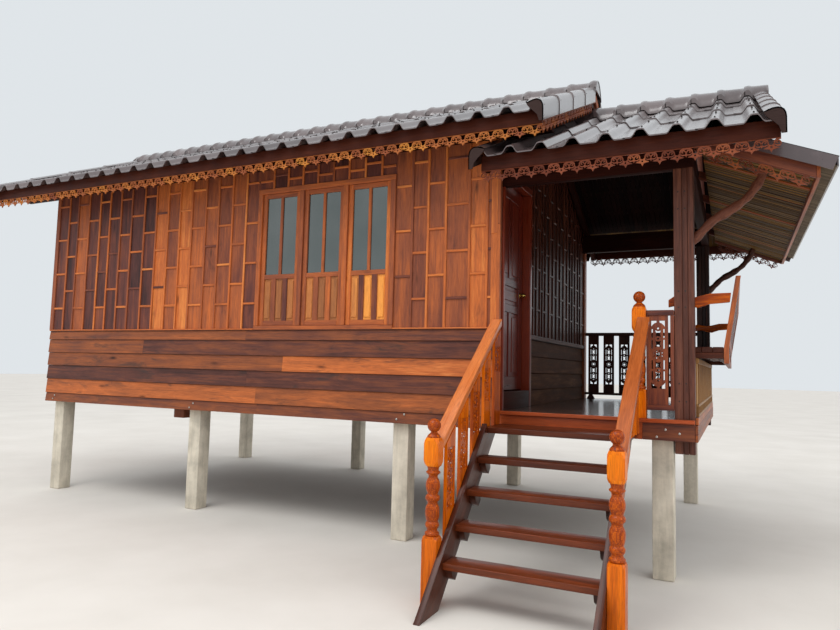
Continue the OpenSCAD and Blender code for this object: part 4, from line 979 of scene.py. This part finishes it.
columns(dark_panels, dark_battens, "right", [WALL, 0.25, 0.42, 0.59, 0.76, 0.931], 3.213, gable_top, [0.3, 0.4],
        ((3.4,), (3.52,)), thick=WALL, strip_tone=0.5, more=(3.75,))
laps(porch_laps, "right", 0.931, 3.42, [1.79, 1.628, 1.466, 1.31, FLOOR], [0.4, 0.55, 0.45, 0.5])
dark_battens.box((ROOM - 0.002, 0.933, 1.79), (ROOM + 0.014, 3.42, 1.832), Y, 0.6)
dark_panels.box((ROOM - WALL, 0.931, 1.7885), (ROOM, 3.42, 1.832), Y, 0.5)
porch_laps.make("weather")
dark_panels.make("gloss", replaces=["right_wall_rear", "right_wall_head"])
dark_battens.make("gloss")

rows = [1.822, 1.725, 1.574, 1.425, 1.268, 1.105, RIM]
tones = [(0.46, 0.36), (0.44, 0.27), (0.44, 0.70), (0.27, 0.24)]
cuts = ((0, 2.95), (1, 1.545), (2, 3.41), (3, 2.98))
laps(rims, "front", 0.0, ROOM, rows[:5], tones, 0.10, SETB, cuts)
laps(rims, "front", 0.0, ROOM, [1.2685, 1.105, RIM], [(0.62, 0.54), (0.42, 0.36)], 0.06, SETB, ((0, 3.10), (1, 3.12)))
for a, b, tone, cut in (((0.0, 0.035, FLOOR), (ROOM, WALL, 1.2685), 0.4, 0.003),
                        ((0.0, 0.0, 1.8215), (ROOM, WALL, 1.826), 0.3, 0.001),
                        ((-0.004, -0.004, 1.826), (WIN_L, 0.03, 1.838), 0.72, 0.003),
                        ((WIN_R, -0.004, 1.826), (ROOM, 0.03, 1.838), 0.72, 0.003)):
    rims.box(a, b, X, tone, cut)
laps(rims, "left", WALL, 3.42, rows, [0.3, 0.42, 0.5, 0.16, 0.6, 0.4])
laps(rims, "back", 0.0, ROOM, rows, [0.3, 0.5, 0.24, 0.56, 0.4, 0.44],
     joints=((0, 3.1), (1, 2.2), (2, 3.6), (3, 1.4), (4, 2.9)))
for a, b in (((6.70, 0.0), (7.06, 0.06)), ((ROOM, 0.006), (6.6995, 0.06)), ((ROOM, 3.44), (7.06, 3.5))):
    rims.box((*a, RIM), (*b, 1.131), X, 0.3)
for z0, z1, t, shy in ((RIM, 1.056, 0.5, 0.0), (1.056, 1.122, 0.4, 0.0), (1.122, 1.176, 0.55, 0.062)):
    rims.box((7.06, shy, z0), (END, DEPTH - shy, z1 - 0.0015), Y, t, 0.004)
rims.box((7.0, 0.19, RIM), (7.059, 3.31, FLOOR_LOW), Y, 0.3)
rims.make("lap", replaces=["front_wall_lower", "rims_long", "rims_end"])
riser = Piece("porch_riser")
riser.box((ROOM + 0.001, 0.0, RIM), (6.6995, 0.0058, FLOOR_LOW), X, 0.92, 0.002)
riser.make("tread", slot="wall_boards")

corner = Piece("corner_boards")
for z0, z1, t in ((SILL + 0.013, 2.62, 0.80), (2.621, WALL_TOP, 0.74)):
    corner.box((5.50, 0.008, z0), (ROOM + 0.022, 0.022, z1), Z, t)
for z0, z1, t in ((FLOOR, 2.7, 0.62), (2.701, 3.6, 0.56)):
    corner.box((ROOM - 0.002, 0.0, z0), (ROOM + 0.024, 0.037, z1), Z, t)
zs = [FLOOR, 1.342, 1.481, 1.627, 1.766, 1.906, 2.039, 2.18, 2.32, 2.46, 2.60, 2.74, 2.88, 3.02, 3.16]
for z0, z1 in zip(zs, zs[1:]):
    corner.box((ROOM - 0.02, 0.036, z0), (ROOM + 0.014, 0.081, z1 - 0.002), Y, corner.rng.uniform(0.2, 0.4))
corner.box((-0.022, SETB - 0.013, SILL + 0.013), (0.036, SETB + 0.004, WALL_TOP), Z, 0.5)
corner.box((-0.022, SETB - 0.006, SILL + 0.013), (0.003, 0.09, 3.53), Z, 0.45)
for x in (-0.022, ROOM - 0.014):
    corner.box((x, 3.41, FLOOR), (x + 0.036, 3.522, 3.53), Z, 0.45)
corner.make("wall", slot="wall_boards")
panels.make("wall", replaces=["front_wall_sides", "front_wall_head", "left_wall", "back_wall"])
battens.make("wall")

bolts = Piece("rim_bolts")
for x, z in ((0.135, 1.035), (0.165, 1.075), (2.26, 1.03), (2.31, 1.075), (4.66, 1.04), (4.735, 1.085),
             (6.80, 1.03), (6.86, 1.085), (6.955, 1.06)):
    for y, way in ((-0.0005, -1), (3.5005, 1)):
        bolts.knob((x, y, z), (0, way, 0), 0.009, 0.004)
bolts.make("steel")
plugs = Piece("post_bolts")
for z in (1.29, 1.42, 1.98, 2.1, 2.72, 2.85):
    for y, way in ((0.0595, -1), (3.4405, 1)):
        for x in (6.952, 6.999):
            plugs.knob((x, y, z), (0, way, 0), 0.006, 0.0015)
plugs.make("nail")


# ---------------------------------------------------------------- floors
floor = Piece("floor_planks")


def planks(x0, x1, ys):
    """Floor boards that end at the given depths, with a fine gap after each."""
    for a, b in zip(ys, ys[1:]):
        floor.box((x0, a, FLOOR_LOW), (x1, b - 0.001, FLOOR), X, floor.rng.uniform(0.25, 0.75), 0.002)


planks(WALL, ROOM - WALL, [WALL + 0.1193 * i for i in range(28)] + [3.42])
planks(ROOM - WALL, 6.92, [0.012 + 0.1158 * i for i in range(31)])
y0, y1, n = 0.191, 3.309, 26
for i in range(n):
    y = y0 + (y1 - y0) * i / n
    floor.box((6.9205, y, FLOOR_LOW), (7.0595, y + (y1 - y0) / n - 0.001, FLOOR), X,
              floor.rng.uniform(0.25, 0.75), 0.002)
floor.make("floor", replaces=["room_floor", "porch_floor"])
nose = Piece("porch_nosing")
nose.box((ROOM + 0.03, -0.02, 1.131), (7.06, 0.013, 1.1605), X, 0.98, 0.004)
nose.box((ROOM, 3.486, 1.131), (7.06, 3.52, 1.1605), X, 0.5, 0.004)
nose.make("tread", slot="floor_boards")

# ---------------------------------------------------------------- porch posts
posts = Piece("porch_post_planks")
# The back posts take a much lower tone than the front ones: painted shade at the back of the porch.
for back in (False, True):
    for a, b, t in ((6.92, 6.979, 0.62), (6.979, 7.018, 0.45), (7.018, 7.06, 0.55)):
        posts.box((a, flip(0.06, back), 0.91), (b - 0.0008, flip(0.19, back), 3.0303), Z,
                  t - (0.5 if back else 0.06), 0.004)
posts.make("post", replaces=["porch_posts"])

# ---------------------------------------------------------------- window
win = Piece("window_frame_look")
leaf = Piece("window_leaves_look")
fields = Piece("window_panels_look")
glass = Piece("window_panes")
hinges = Piece("window_hinges")
# Tones in each leaf: its own boards, then the three sunk fields, then the two bars between them.
LEAF_TONES = ((0.52, (0.48, 0.38, 0.54), (0.48, 0.26)), (0.60, (0.64, 0.34, 0.44), (0.44, 0.62)),
              (0.62, (0.72, 0.97, 1.0), (0.38, 0.36)))
UPRIGHT, STILE = 0.05, 0.045
win.box((WIN_L, 0.0, SILL), (WIN_R, WALL, WIN_LOW), X, 0.55, 0.004)
win.box((WIN_L, 0.0, WIN_HEAD), (WIN_R, WALL, WIN_TOP), X, 0.6, 0.004)
sash = (1.55 - 4 * UPRIGHT) / 3
for i, tone in enumerate((0.66, 0.5, 0.62, 0.5)):
    x = WIN_L + i * (sash + UPRIGHT)
    win.box((x, 0.0, WIN_LOW), (x + UPRIGHT, WALL, WIN_HEAD), Z, tone, 0.004)
z, h = WIN_LOW, WIN_HEAD - WIN_LOW
y0, y1 = 0.021, 0.055
inside = sash - 2 * STILE
field, bar = inside * 0.229, inside * 0.1565
for i, (base, field_tones, bar_tones) in enumerate(LEAF_TONES):
    x = WIN_L + UPRIGHT + i * (sash + UPRIGHT)
    for a, b in ((x + 0.0005, x + STILE), (x + sash - STILE, x + sash - 0.0005)):
        leaf.box((a, y0, z), (b, y1, z + h), Z, base + leaf.rng.uniform(-0.08, 0.12), 0.003)
    for a, b in ((z + 0.001, z + 0.05), (z + 0.46, z + 0.505), (z + h - 0.045, z + h - 0.001)):
        leaf.box((x + 0.0445, y0 + 0.001, a), (x + sash - 0.0445, y1 - 0.001, b), X, base - 0.05, 0.003)
    leaf.box((x + sash / 2 - 0.015, y0 + 0.002, z + 0.50), (x + sash / 2 + 0.015, y1 - 0.002, z + h - 0.04), Z,
             base, 0.004)
    for k, tone in enumerate(field_tones):
        a = x + STILE + k * (field + bar)
        if k:
            leaf.box((a - bar, y0 + 0.002, z + 0.045), (a, y1 - 0.002, z + 0.465), Z, bar_tones[k - 1], 0.004)
        fields.box((a - 0.002, y0 + 0.013, z + 0.046), (a + field + 0.002, y1 - 0.006, z + 0.464), Z, tone, 0.002)
        fields.box((a + 0.010, y0 + 0.005, z + 0.072), (a + field - 0.010, y0 + 0.02, z + 0.438), Z, tone + 0.04, 0.007)
    for k in (0, 1):
        a = x + STILE + k * inside / 2
        glass.box((a, y0 + 0.016, z + 0.50), (a + inside / 2, y0 + 0.021, z + h - 0.04), Z, 0.5, 0.0005)
    for low in (2.08, 2.60, 3.06):
        for k in range(3):
            hinges.lathe((x + sash + 0.003, y0 - 0.006, low + k * 0.026),
                         [(0.005, 0.0), (0.006, 0.001), (0.006, 0.023), (0.005, 0.024)], 0.5, 10)
        hinges.box((x + sash - 0.009, y0 - 0.001, low), (x + sash - 0.001, y0 + 0.002, low + 0.076), Z, 0.5, 0.0005)
win.make("wall", slot="frame_timber", replaces=["window_frame"])
leaf.make("wall", slot="frame_timber", replaces=["window_leaves"])
fields.make("panel")
glass.make("glass", replaces=["window_glass"])
hinges.make("steel")

# ---------------------------------------------------------------- door
door = Piece("door_leaf_look")
x0, x1 = ROOM - WALL, ROOM - WALL + 0.035
y0, y1, z0 = DOOR_Y, DOOR_Y + DOOR_WIDE, DOOR_Z
ym = (y0 + y1) / 2
for a, b in ((y0, y0 + 0.11), (y1 - 0.11, y1)):
    door.box((x0, a, z0), (x1, b, z0 + DOOR_HIGH), Z, 0.5, 0.003)
for a, b in ((0.0, 0.12), (0.685, 0.757), (0.921, 0.993), (1.71, 1.83)):
    door.box((x0, y0 + 0.1095, z0 + a), (x1, y1 - 0.1095, z0 + b), Y, 0.45, 0.003)
for a, b in ((0.12, 0.685), (0.993, 1.71)):
    door.box((x0, ym - 0.035, z0 + a - 0.001), (x1, ym + 0.035, z0 + b + 0.001), Z, 0.5, 0.003)
for a, b, lo, hi, axis in ((y0 + 0.11, ym - 0.035, 0.12, 0.685, Z), (ym + 0.035, y1 - 0.11, 0.12, 0.685, Z),
                           (y0 + 0.11, y1 - 0.11, 0.757, 0.921, Y),
                           (y0 + 0.11, ym - 0.035, 0.993, 1.71, Z), (ym + 0.035, y1 - 0.11, 0.993, 1.71, Z)):
    for inset, rim, tone, cut in ((0.009, -0.002, 0.55, 0.001), (0.003, 0.035, 0.6, 0.006)):
        door.box((x0 + inset, a + rim, z0 + lo + rim), (x1 - inset, b - rim, z0 + hi - rim), axis, tone, cut)
door.make("door", body="door", replaces=["door_leaf"])
knobs = Piece("door_knobs_look")
cy, cz = y1 - 0.065, z0 + 0.871
prof = [(0.029, 0.0), (0.029, 0.003), (0.026, 0.006), (0.014, 0.008), (0.0105, 0.012), (0.0105, 0.016), (0.016, 0.019)]
prof += [(0.021 * math.sin(math.radians(q)), 0.030 - 0.021 * math.cos(math.radians(q))) for q in range(62, 180, 13)]
for face, way in ((x0, -1), (x1, 1)):
    knobs.loft([[(face + way * h, cy + r * c, cz + r * s) for c, s in circle(28)] for r, h in prof + [(0.003, 0.051)]],
               X, 0.5)
knobs.make("brass", body="door", replaces=["door_knobs"])
dress("door_frame", "door", 0.004, 0.72)
dress("door_sill", "fascia", 0.004, 0.3)
dress("hinge_pins", "steel", 0.001)
dress("hinge_sleeves", "steel", 0.001, body="door")

# ---------------------------------------------------------------- stair
# Turned part of a newel: height and radius, as shares of its length and of the block's width.
TURN = [(0, 0.40), (0.02, 0.46), (0.05, 0.46), (0.07, 0.36), (0.10, 0.34), (0.13, 0.42), (0.16, 0.45), (0.19, 0.42),
        (0.21, 0.36), (0.24, 0.40), (0.29, 0.45), (0.34, 0.465), (0.39, 0.45), (0.43, 0.40), (0.46, 0.33),
        (0.49, 0.34), (0.51, 0.42), (0.535, 0.465), (0.56, 0.46), (0.585, 0.40), (0.60, 0.34), (0.63, 0.38),
        (0.67, 0.44), (0.72, 0.465), (0.77, 0.44), (0.81, 0.37), (0.84, 0.30), (0.87, 0.31), (0.90, 0.44),
        (0.92, 0.46), (0.94, 0.36), (0.97, 0.37), (1.0, 0.42)]


def smooth_profile(pts, n=3):
    """Points of a smooth curve through the given ones."""
    out = []
    for i in range(len(pts) - 1):
        p0, p1, p2, p3 = (np.array(pts[max(i - 1, 0)]), np.array(pts[i]), np.array(pts[i + 1]),
                          np.array(pts[min(i + 2, len(pts) - 1)]))
        for k in range(n):
            t = k / n
            out.append(tuple(0.5 * (2 * p1 + (p2 - p0) * t + (2 * p0 - 5 * p1 + 4 * p2 - p3) * t * t
                                    + (3 * p1 - p0 - 3 * p2 + p3) * t ** 3)))
    return out + [pts[-1]]


def square_ring(x, y, z, h, cut):
    """Square with its corners cut off, as eight points."""
    c = h - cut
    return [(x + a, y + b, z) for a, b in ((h, -c), (h, c), (c, h), (-c, h), (-h, c), (-h, -c), (-c, -h), (c, -h))]


newels = Piece("newels_look")
wide, turned, block_high = 0.1, 0.437, 0.181
h = wide / 2
for x, y, z0, foot in ((5.565, -1.205, 0.0, 0.425), (6.710, -1.205, 0.0, 0.425), (6.675, 0.055, 1.1603, 0.209)):
    z1 = z0 + foot
    z2 = z1 + turned
    z3 = z2 + block_high
    for tone, levels in (
            (0.55, ((z0, h, 0.003), (z1 - 0.028, h, 0.003), (z1 - 0.012, h, 0.014), (z1, h * 0.93, 0.018))),
            (0.7, ((z2, h * 0.86, 0.020), (z2 + 0.020, h, 0.016), (z2 + 0.040, h, 0.006),
                   (z3 - 0.040, h, 0.006), (z3 - 0.020, h, 0.016), (z3, h * 0.86, 0.020)))):
        newels.loft([square_ring(x, y, *row) for row in levels], Z, tone)
    prof = smooth_profile([(r * wide, q * turned) for q, r in TURN])
    newels.lathe((x, y, z1 - 0.001), [(0.036, 0.0)] + prof + [(0.036, 0.439)], 0.33, 40)
    top = [(0.044, 0.0), (0.044, 0.010), (0.034, 0.022), (0.024, 0.030), (0.020, 0.038), (0.022, 0.044)]
    ball = [(0.044 * math.sin(math.radians(q)), 0.078 - 0.044 * math.cos(math.radians(q))) for q in range(35, 180, 9)]
    newels.lathe((x, y, z3 - 0.002), top + ball + [(0.004, 0.122)], 0.3, 40)
newels.make("newel", replaces=["newels"])
dress("treads", "tread", 0.003, 0.38)
dress("stringers", "tread", 0.004, 0.22)
look = dress("handrails", "rail", 0.006, 0.58)
# The handrail on the right lies in the shade of the porch and is darker.
for f, t in zip(look.data.polygons, look.data.attributes["tone"].data):
    if f.center.x > 6.0:
        t.value -= 0.42


def hook(cx, cy, r, width, a0, a1):
    """Curved slot round a centre, from one angle to another."""
    return arc(cx, cy, r + width / 2, a0, a1, 12) + arc(cx, cy, r - width / 2, a1, a0, 9)


def scrolls(z0, z1):
    """Middles of the scrolls in a slat, lower one first, with the side each lies on."""
    n = max(2, round((z1 - z0) / 0.1))
    s = (z1 - z0) / n
    return [(g * 0.017, z0 + (i + 0.5 + g * 0.25) * s, g) for i in range(n) for g in (-1, 1)]


def stair_holes(z0, z1):
    """Scrolls pierced in the thin field of a stair slat."""
    holes = []
    for x, y, g in scrolls(z0, z1):
        turn = 0 if g > 0 else 180
        holes.append(hook(x, y, 0.0195, 0.0095, -120 + turn, 150 + turn))
        holes.append(leaf_hole(-g * 0.0385, y + g * 0.004, 0.038, 0.019, math.pi / 2 + g * 0.3))
        holes.append(ring(-g * 0.0165, y + g * 0.0125, 0.0050, 7))
    return holes


def edge_z(y):
    """Upper edge of the stringers."""
    return 0.311 + (y + 1.24) * 0.98


def slat_low(y):
    """Foot of a stair slat: below the stringer's upper edge, and below the porch floor."""
    return min(edge_z(y), FLOOR_LOW) - 0.08


def slat_high(y):
    """Underside of the sloping handrail."""
    return FLOOR + 0.745 - 0.06 + (y / 1.155) * (1.905 - 1.02) - 0.0003


slats = Piece("stair_slats_look")
slat_half, field_half, slat_thick = 0.07, 0.0616, 0.022
for x, i in product((5.5927, 6.6603), range(5)):
    yc = -1.03 + 0.23 * i
    tone = 0.54 + slats.rng.uniform(-0.12, 0.1)
    seed = slats.rng.random()
    foot = max(slat_low(yc + slat_half), edge_z(yc)) + 0.055
    head = slat_high(yc - slat_half) - 0.03
    a, b = yc - field_half, yc + field_half
    edges = [sorted((yc + g * slat_half, yc + g * 0.0615)) for g in (-1, 1)]
    quads = [(p, q, slat_low(p), slat_low(q), slat_high(p), slat_high(q)) for p, q in edges]
    quads += [(a, b, slat_low(a), slat_low(b), foot, foot), (a, b, head, head, slat_high(a), slat_high(b))]
    for y0, y1, lo0, lo1, hi0, hi1 in quads:
        slats.loft([[(q, y0, lo0), (q, y1, lo1), (q, y1, hi1), (q, y0, hi0)] for q in (x, x + slat_thick)],
                   Z, tone, seed)
    outline = [(-field_half, foot - 0.001), (field_half, foot - 0.001), (field_half, head + 0.001),
               (-field_half, head + 0.001)]
    verts, faces = cut_board(outline, stair_holes(foot + 0.006, head - 0.006), 0.009)
    slats.add([(x + slat_thick / 2 + v.z, yc + v.x, v.y) for v in verts], faces, Z, tone - 0.1, seed)
    for u, v, side in scrolls(foot + 0.006, head - 0.006):
        for g in (-1, 1):
            slats.knob((x + slat_thick / 2 + g * 0.0044, yc + u, v), (g, 0, 0), 0.0105, 0.0055, 8)
slats.make("newel", slot="fret_timber", replaces=["stair_slats"])


# ---------------------------------------------------------------- porch rails
# Cut-outs of a tall slat: a waisted window from its own middle, and a corner cut from the slat's corner.
WINDOW = [(-0.019, 0.026), (-0.007, 0.019), (0.007, 0.019), (0.019, 0.026), (0.012, 0.0), (0.019, -0.026),
          (0.007, -0.019), (-0.007, -0.019), (-0.019, -0.026), (-0.012, 0.0)]
CORNER = [(0.008, 0.003), (0.044, 0.003), (0.044, 0.050), (0.036, 0.036), (0.022, 0.022), (0.010, 0.018)]


def panel_holes(z0, z1, w):
    """Cut-outs of a tall slat: corner cuts, side slots, waisted windows, round holes and a rayed centre."""
    c, k, m, top = (z0 + z1) / 2, (z1 - z0) / 0.509, w / 0.10, (z1 - z0) / 2
    holes = [ring(0, c, 0.014 * m, 16)]
    for i in range(8):
        a = math.radians(45 * i + 22.5)
        holes.append(leaf_hole(0.0255 * m * math.cos(a), c + 0.0255 * m * math.sin(a), 0.014 * m, 0.007 * m, a))
    for s in (-1, 1):
        for d in (0.078, 0.155):
            holes.append([(x * m, c + s * d * k + y) for x, y in WINDOW])
            holes.append(ring(0, c + s * (d + 0.0388) * k, 0.007 * m, 10))
        for g in (-1, 1):
            for lo, hi in ((0.040, 0.112), (0.121, 0.192)):
                slot = ((0.033, lo + 0.006), (0.0375, lo), (0.042, lo + 0.006), (0.042, hi - 0.006), (0.0375, hi),
                        (0.033, hi - 0.006))
                holes.append([(g * x * m, c + s * y * k) for x, y in slot])
            holes.append([(g * x * m, c + s * (top - y * k)) for x, y in CORNER])
    return holes


rails = Piece("porch_panel_look")
verts, faces = cut_board([(-0.07, 1.259), (0.07, 1.259), (0.07, 1.921), (-0.07, 1.921)],
                         panel_holes(1.376, 1.885, 0.11), 0.022)
rails.add([(6.808 + v.x, 0.055 + v.z, v.y) for v in verts], faces, Z, 0.4)
for z0, z1, tone in ((1.92, 1.96, 0.28), (1.22, 1.26, 0.3)):
    rails.box((6.7253, 0.035, z0), (6.9197, 0.075, z1), X, tone)
for x0, x1 in ((6.8947, 6.9197), (6.7253, 6.7393)):
    rails.box((x0, 0.037, 1.2595), (x1, 0.073, 1.9205), Z, 0.35)
rails.make("wall", slot="fret_timber", replaces=["porch_panel"])

back_rail = Piece("back_railing_look")
back_rail.box((5.5603, 3.445, 1.96), (6.9197, 3.495, 2.0), X, 0.4)
back_rail.box((5.5603, 3.445, 1.21), (6.9197, 3.495, 1.24), X, 0.4)
half, step = 0.065, 0.19
for i in range(7):
    xc = 5.62 + half + step * i
    if xc + half > 6.92:
        break
    verts, faces = cut_board([(-half, 1.239), (half, 1.239), (half, 1.961), (-half, 1.961)],
                             panel_holes(1.344, 1.853, 0.09), 0.022)
    back_rail.add([(xc + v.x, 3.470 + v.z, v.y) for v in verts], faces, Z, 0.4)
for x in (5.60, 6.19, 6.78):
    back_rail.prism([(x, 1.1605), (x + 0.1, 1.1605), (x + 0.07, 1.211), (x + 0.03, 1.211)],
                    lambda u, v, d: (u, d, v), 3.455, 3.485, X, 0.4)
back_rail.make("dark", slot="fret_timber", replaces=["back_railing"])

side = Piece("side_panel_look")
for z0, z1, tone in ((1.1763, 1.196, 0.5), (1.248, 1.268, 0.55), (1.57, 1.6097, 0.5)):
    side.box((7.04, BAY_0, z0), (7.08, BAY_1, z1), Y, tone)
wide = BAY_1 - 0.02 - BAY_0
n = math.ceil(wide / 0.16)
for i in range(n + 1):
    y = BAY_0 + wide * i / n
    side.box((7.041, y, 1.1955), (7.079, y + 0.02, 1.2485), Z, 0.45)
wide = BAY_1 - BAY_0
n = math.ceil(wide / 0.118)
for i in range(n):
    y = BAY_0 + wide * i / n
    side.box((7.05, y + 0.001, 1.2675), (7.068, y + wide / n - 0.001, 1.5705), Z, (0.85, 0.45, 0.7, 0.55)[i % 4], 0.003)
    if i:
        side.box((7.066, y - 0.010, 1.2675), (7.078, y + 0.010, 1.5705), Z, 0.5, 0.003)
side.make("slat", replaces=["side_panel"])


# ---------------------------------------------------------------- bench
SEAT = 1.6525
bench = Piece("bench_seat_look")
for i in range(5):
    a = 6.87 + 0.076 * i
    bench.box((a, BAY_0, SEAT - 0.0005), (a + 0.0745, BAY_1, 1.695), Y, 0.4 + bench.rng.uniform(-0.1, 0.1), 0.004)
for y0, y1 in ((BAY_0, 0.235), (3.265, BAY_1)):
    bench.box((6.872, y0, 1.61), (7.248, y1, SEAT), X, 0.5, 0.004)
for x0, x1 in ((6.872, 6.907), (7.214, 7.248)):
    bench.box((x0, 0.235, 1.61), (x1, 3.265, SEAT), Y, 0.45, 0.004)
bench.make("dark", slot="frame_timber", replaces=["bench_seat"])

LEAN = 0.085 / 0.525


def on_back(d, h):
    """Point of the leaning back: d outward, h up from the seat."""
    return 7.2503 + d + (h * LEAN if h > 0 else 0), 1.695 + h


back_rest = Piece("bench_back_look")
wide, n = 3.1194, 24
step = wide / n
for i in range(n):
    y = BAY_0 + wide * i / n
    end = i in (0, n - 1)
    t = 0.55 if end else 0.2 + back_rest.rng.uniform(-0.1, 0.2)
    d0, d1, high, w = (0.0, 0.034, 0.524, 0.06) if end else (0.008, 0.026, 0.49, step - 0.028)
    prof = [on_back(d, h) for d, h in ((d0, -0.12), (d1, -0.12), (d1, 0.0), (d1, high), (d0, high), (d0, 0.0))]
    off = 0 if i < n - 1 else step - 0.06
    back_rest.loft([[(x, q, z) for x, z in prof] for q in (y + off, y + off + w)], (LEAN, 0, 1), t)
for h, hh, t in ((0.455, 0.524, 0.5), (-0.123, -0.07, 0.4), (0.02, 0.07, 0.4)):
    prof = [on_back(0.002, h), on_back(0.032, h), on_back(0.032, hh), on_back(0.002, hh)]
    back_rest.loft([[(x, q, z) for x, z in prof] for q in (0.25, 3.25)], Y, t)
back_rest.make("wall", slot="frame_timber", replaces=["bench_back"])
dress("bench_arms", "newel", 0.006, 0.3)

# ---------------------------------------------------------------- branches
branch = Piece("branches_look")
PATH = smooth_profile([(6.985, 2.43), (7.085, 2.525), (7.204, 2.635), (7.337, 2.712), (7.435, 2.80), (7.505, 2.91),
                       (7.545, 3.02)], 5)
for back in (False, True):
    rings = []
    for i, (x, z) in enumerate(PATH):
        if x < 7.03:
            continue
        a, b = PATH[max(i - 1, 0)], PATH[min(i + 1, len(PATH) - 1)]
        d = Vector((b[0] - a[0], 0, b[1] - a[1])).normalized()
        side_v, up_v = Vector(Y), d.cross(Vector(Y))
        r = 0.037 - 0.010 * i / len(PATH) + 0.003 * math.sin(i * 1.7 + back) + 0.004 * math.sin(i * 0.6)
        centre = Vector((x, flip(0.125, back) + 0.012 * math.sin(i * 0.35), z))
        rings.append([centre + (side_v * math.cos(q) * r * 0.85 + up_v * math.sin(q) * r)
                      * (1 + 0.06 * math.sin(3 * q + i)) for q in [2 * math.pi * k / 18 for k in range(18)]])
    # The back branch takes a lower tone than the front one: painted shade at the back of the porch.
    branch.loft(rings, (0.7, 0, 0.7), 0.2 if back else 0.55)
branch.make("branch", replaces=["branch_brackets"])


# ---------------------------------------------------------------- stage
def stage():
    """Pale ground, a sky that is brighter overhead, and two large lamps."""
    mesh = bpy.data.meshes.new("ground")
    mesh.from_pydata([(-60, -60, -0.001), (60, -60, -0.001), (60, 90, -0.001), (-60, 90, -0.001)], [], [(0, 1, 2, 3)])
    ground = bpy.data.objects.new("ground", mesh)
    bpy.context.scene.collection.objects.link(ground)
    n = Nodes(bpy.data.materials.new("pale_ground"))
    cloud = n.noise(n.position(), 0.8, 4.0, 0.6)
    colour = n.ramp(cloud, [(0.3, (0.62, 0.585, 0.53)), (0.7, (0.69, 0.655, 0.60))])
    mesh.materials.append(n.done(colour, 0.9))

    n = Nodes(bpy.data.worlds.new("studio"))
    bpy.context.scene.world = n.owner
    n.tree.nodes.clear()
    split = n.add("SeparateXYZ")
    n.feed(split.inputs[0], n.add("TexCoord").outputs["Generated"])
    rise = n.add("MapRange")
    for i, value in enumerate((split.outputs["Z"], 0.0, 1.0, 0.48, 1.60)):
        n.feed(rise.inputs[i], value)
    path = n.add("LightPath").outputs
    seen = n.maths("MAXIMUM", path["Is Camera Ray"], path["Is Glossy Ray"])
    mix = n.add("MixShader")
    n.feed(mix.inputs[0], n.maths("MAXIMUM", seen, path["Is Transmission Ray"]))
    # The first sky lights the house, the second one is what the camera, glass and gloss see.
    for i, colour, strength in ((1, (0.95, 0.97, 1.0, 1), rise.outputs[0]), (2, (0.745, 0.785, 0.815, 1), 1.0)):
        light = n.add("Background")
        n.feed(light.inputs[0], colour)
        n.feed(light.inputs[1], strength)
        n.feed(mix.inputs[i], light.outputs[0])
    n.feed(n.add("OutputWorld").inputs[0], mix.outputs[0])
    for name, at, aim, size, power in (("key", (2.0, -6.5, 12.5), (3.5, 0.5, 1.8), 7.5, 700),
                                       ("fill", (14.0, -3.0, 6.0), (6.0, 1.0, 2.0), 6.0, 140)):
        lamp = bpy.data.lights.new(name, "AREA")
        lamp.shape = "DISK"
        lamp.size = size
        lamp.energy = power
        obj = bpy.data.objects.new(name, lamp)
        obj.location = at
        obj.rotation_euler = (Vector(aim) - Vector(at)).to_track_quat("-Z", "Y").to_euler()
        bpy.context.scene.collection.objects.link(obj)


stage()
bpy.context.scene.view_settings.view_transform = "Standard"
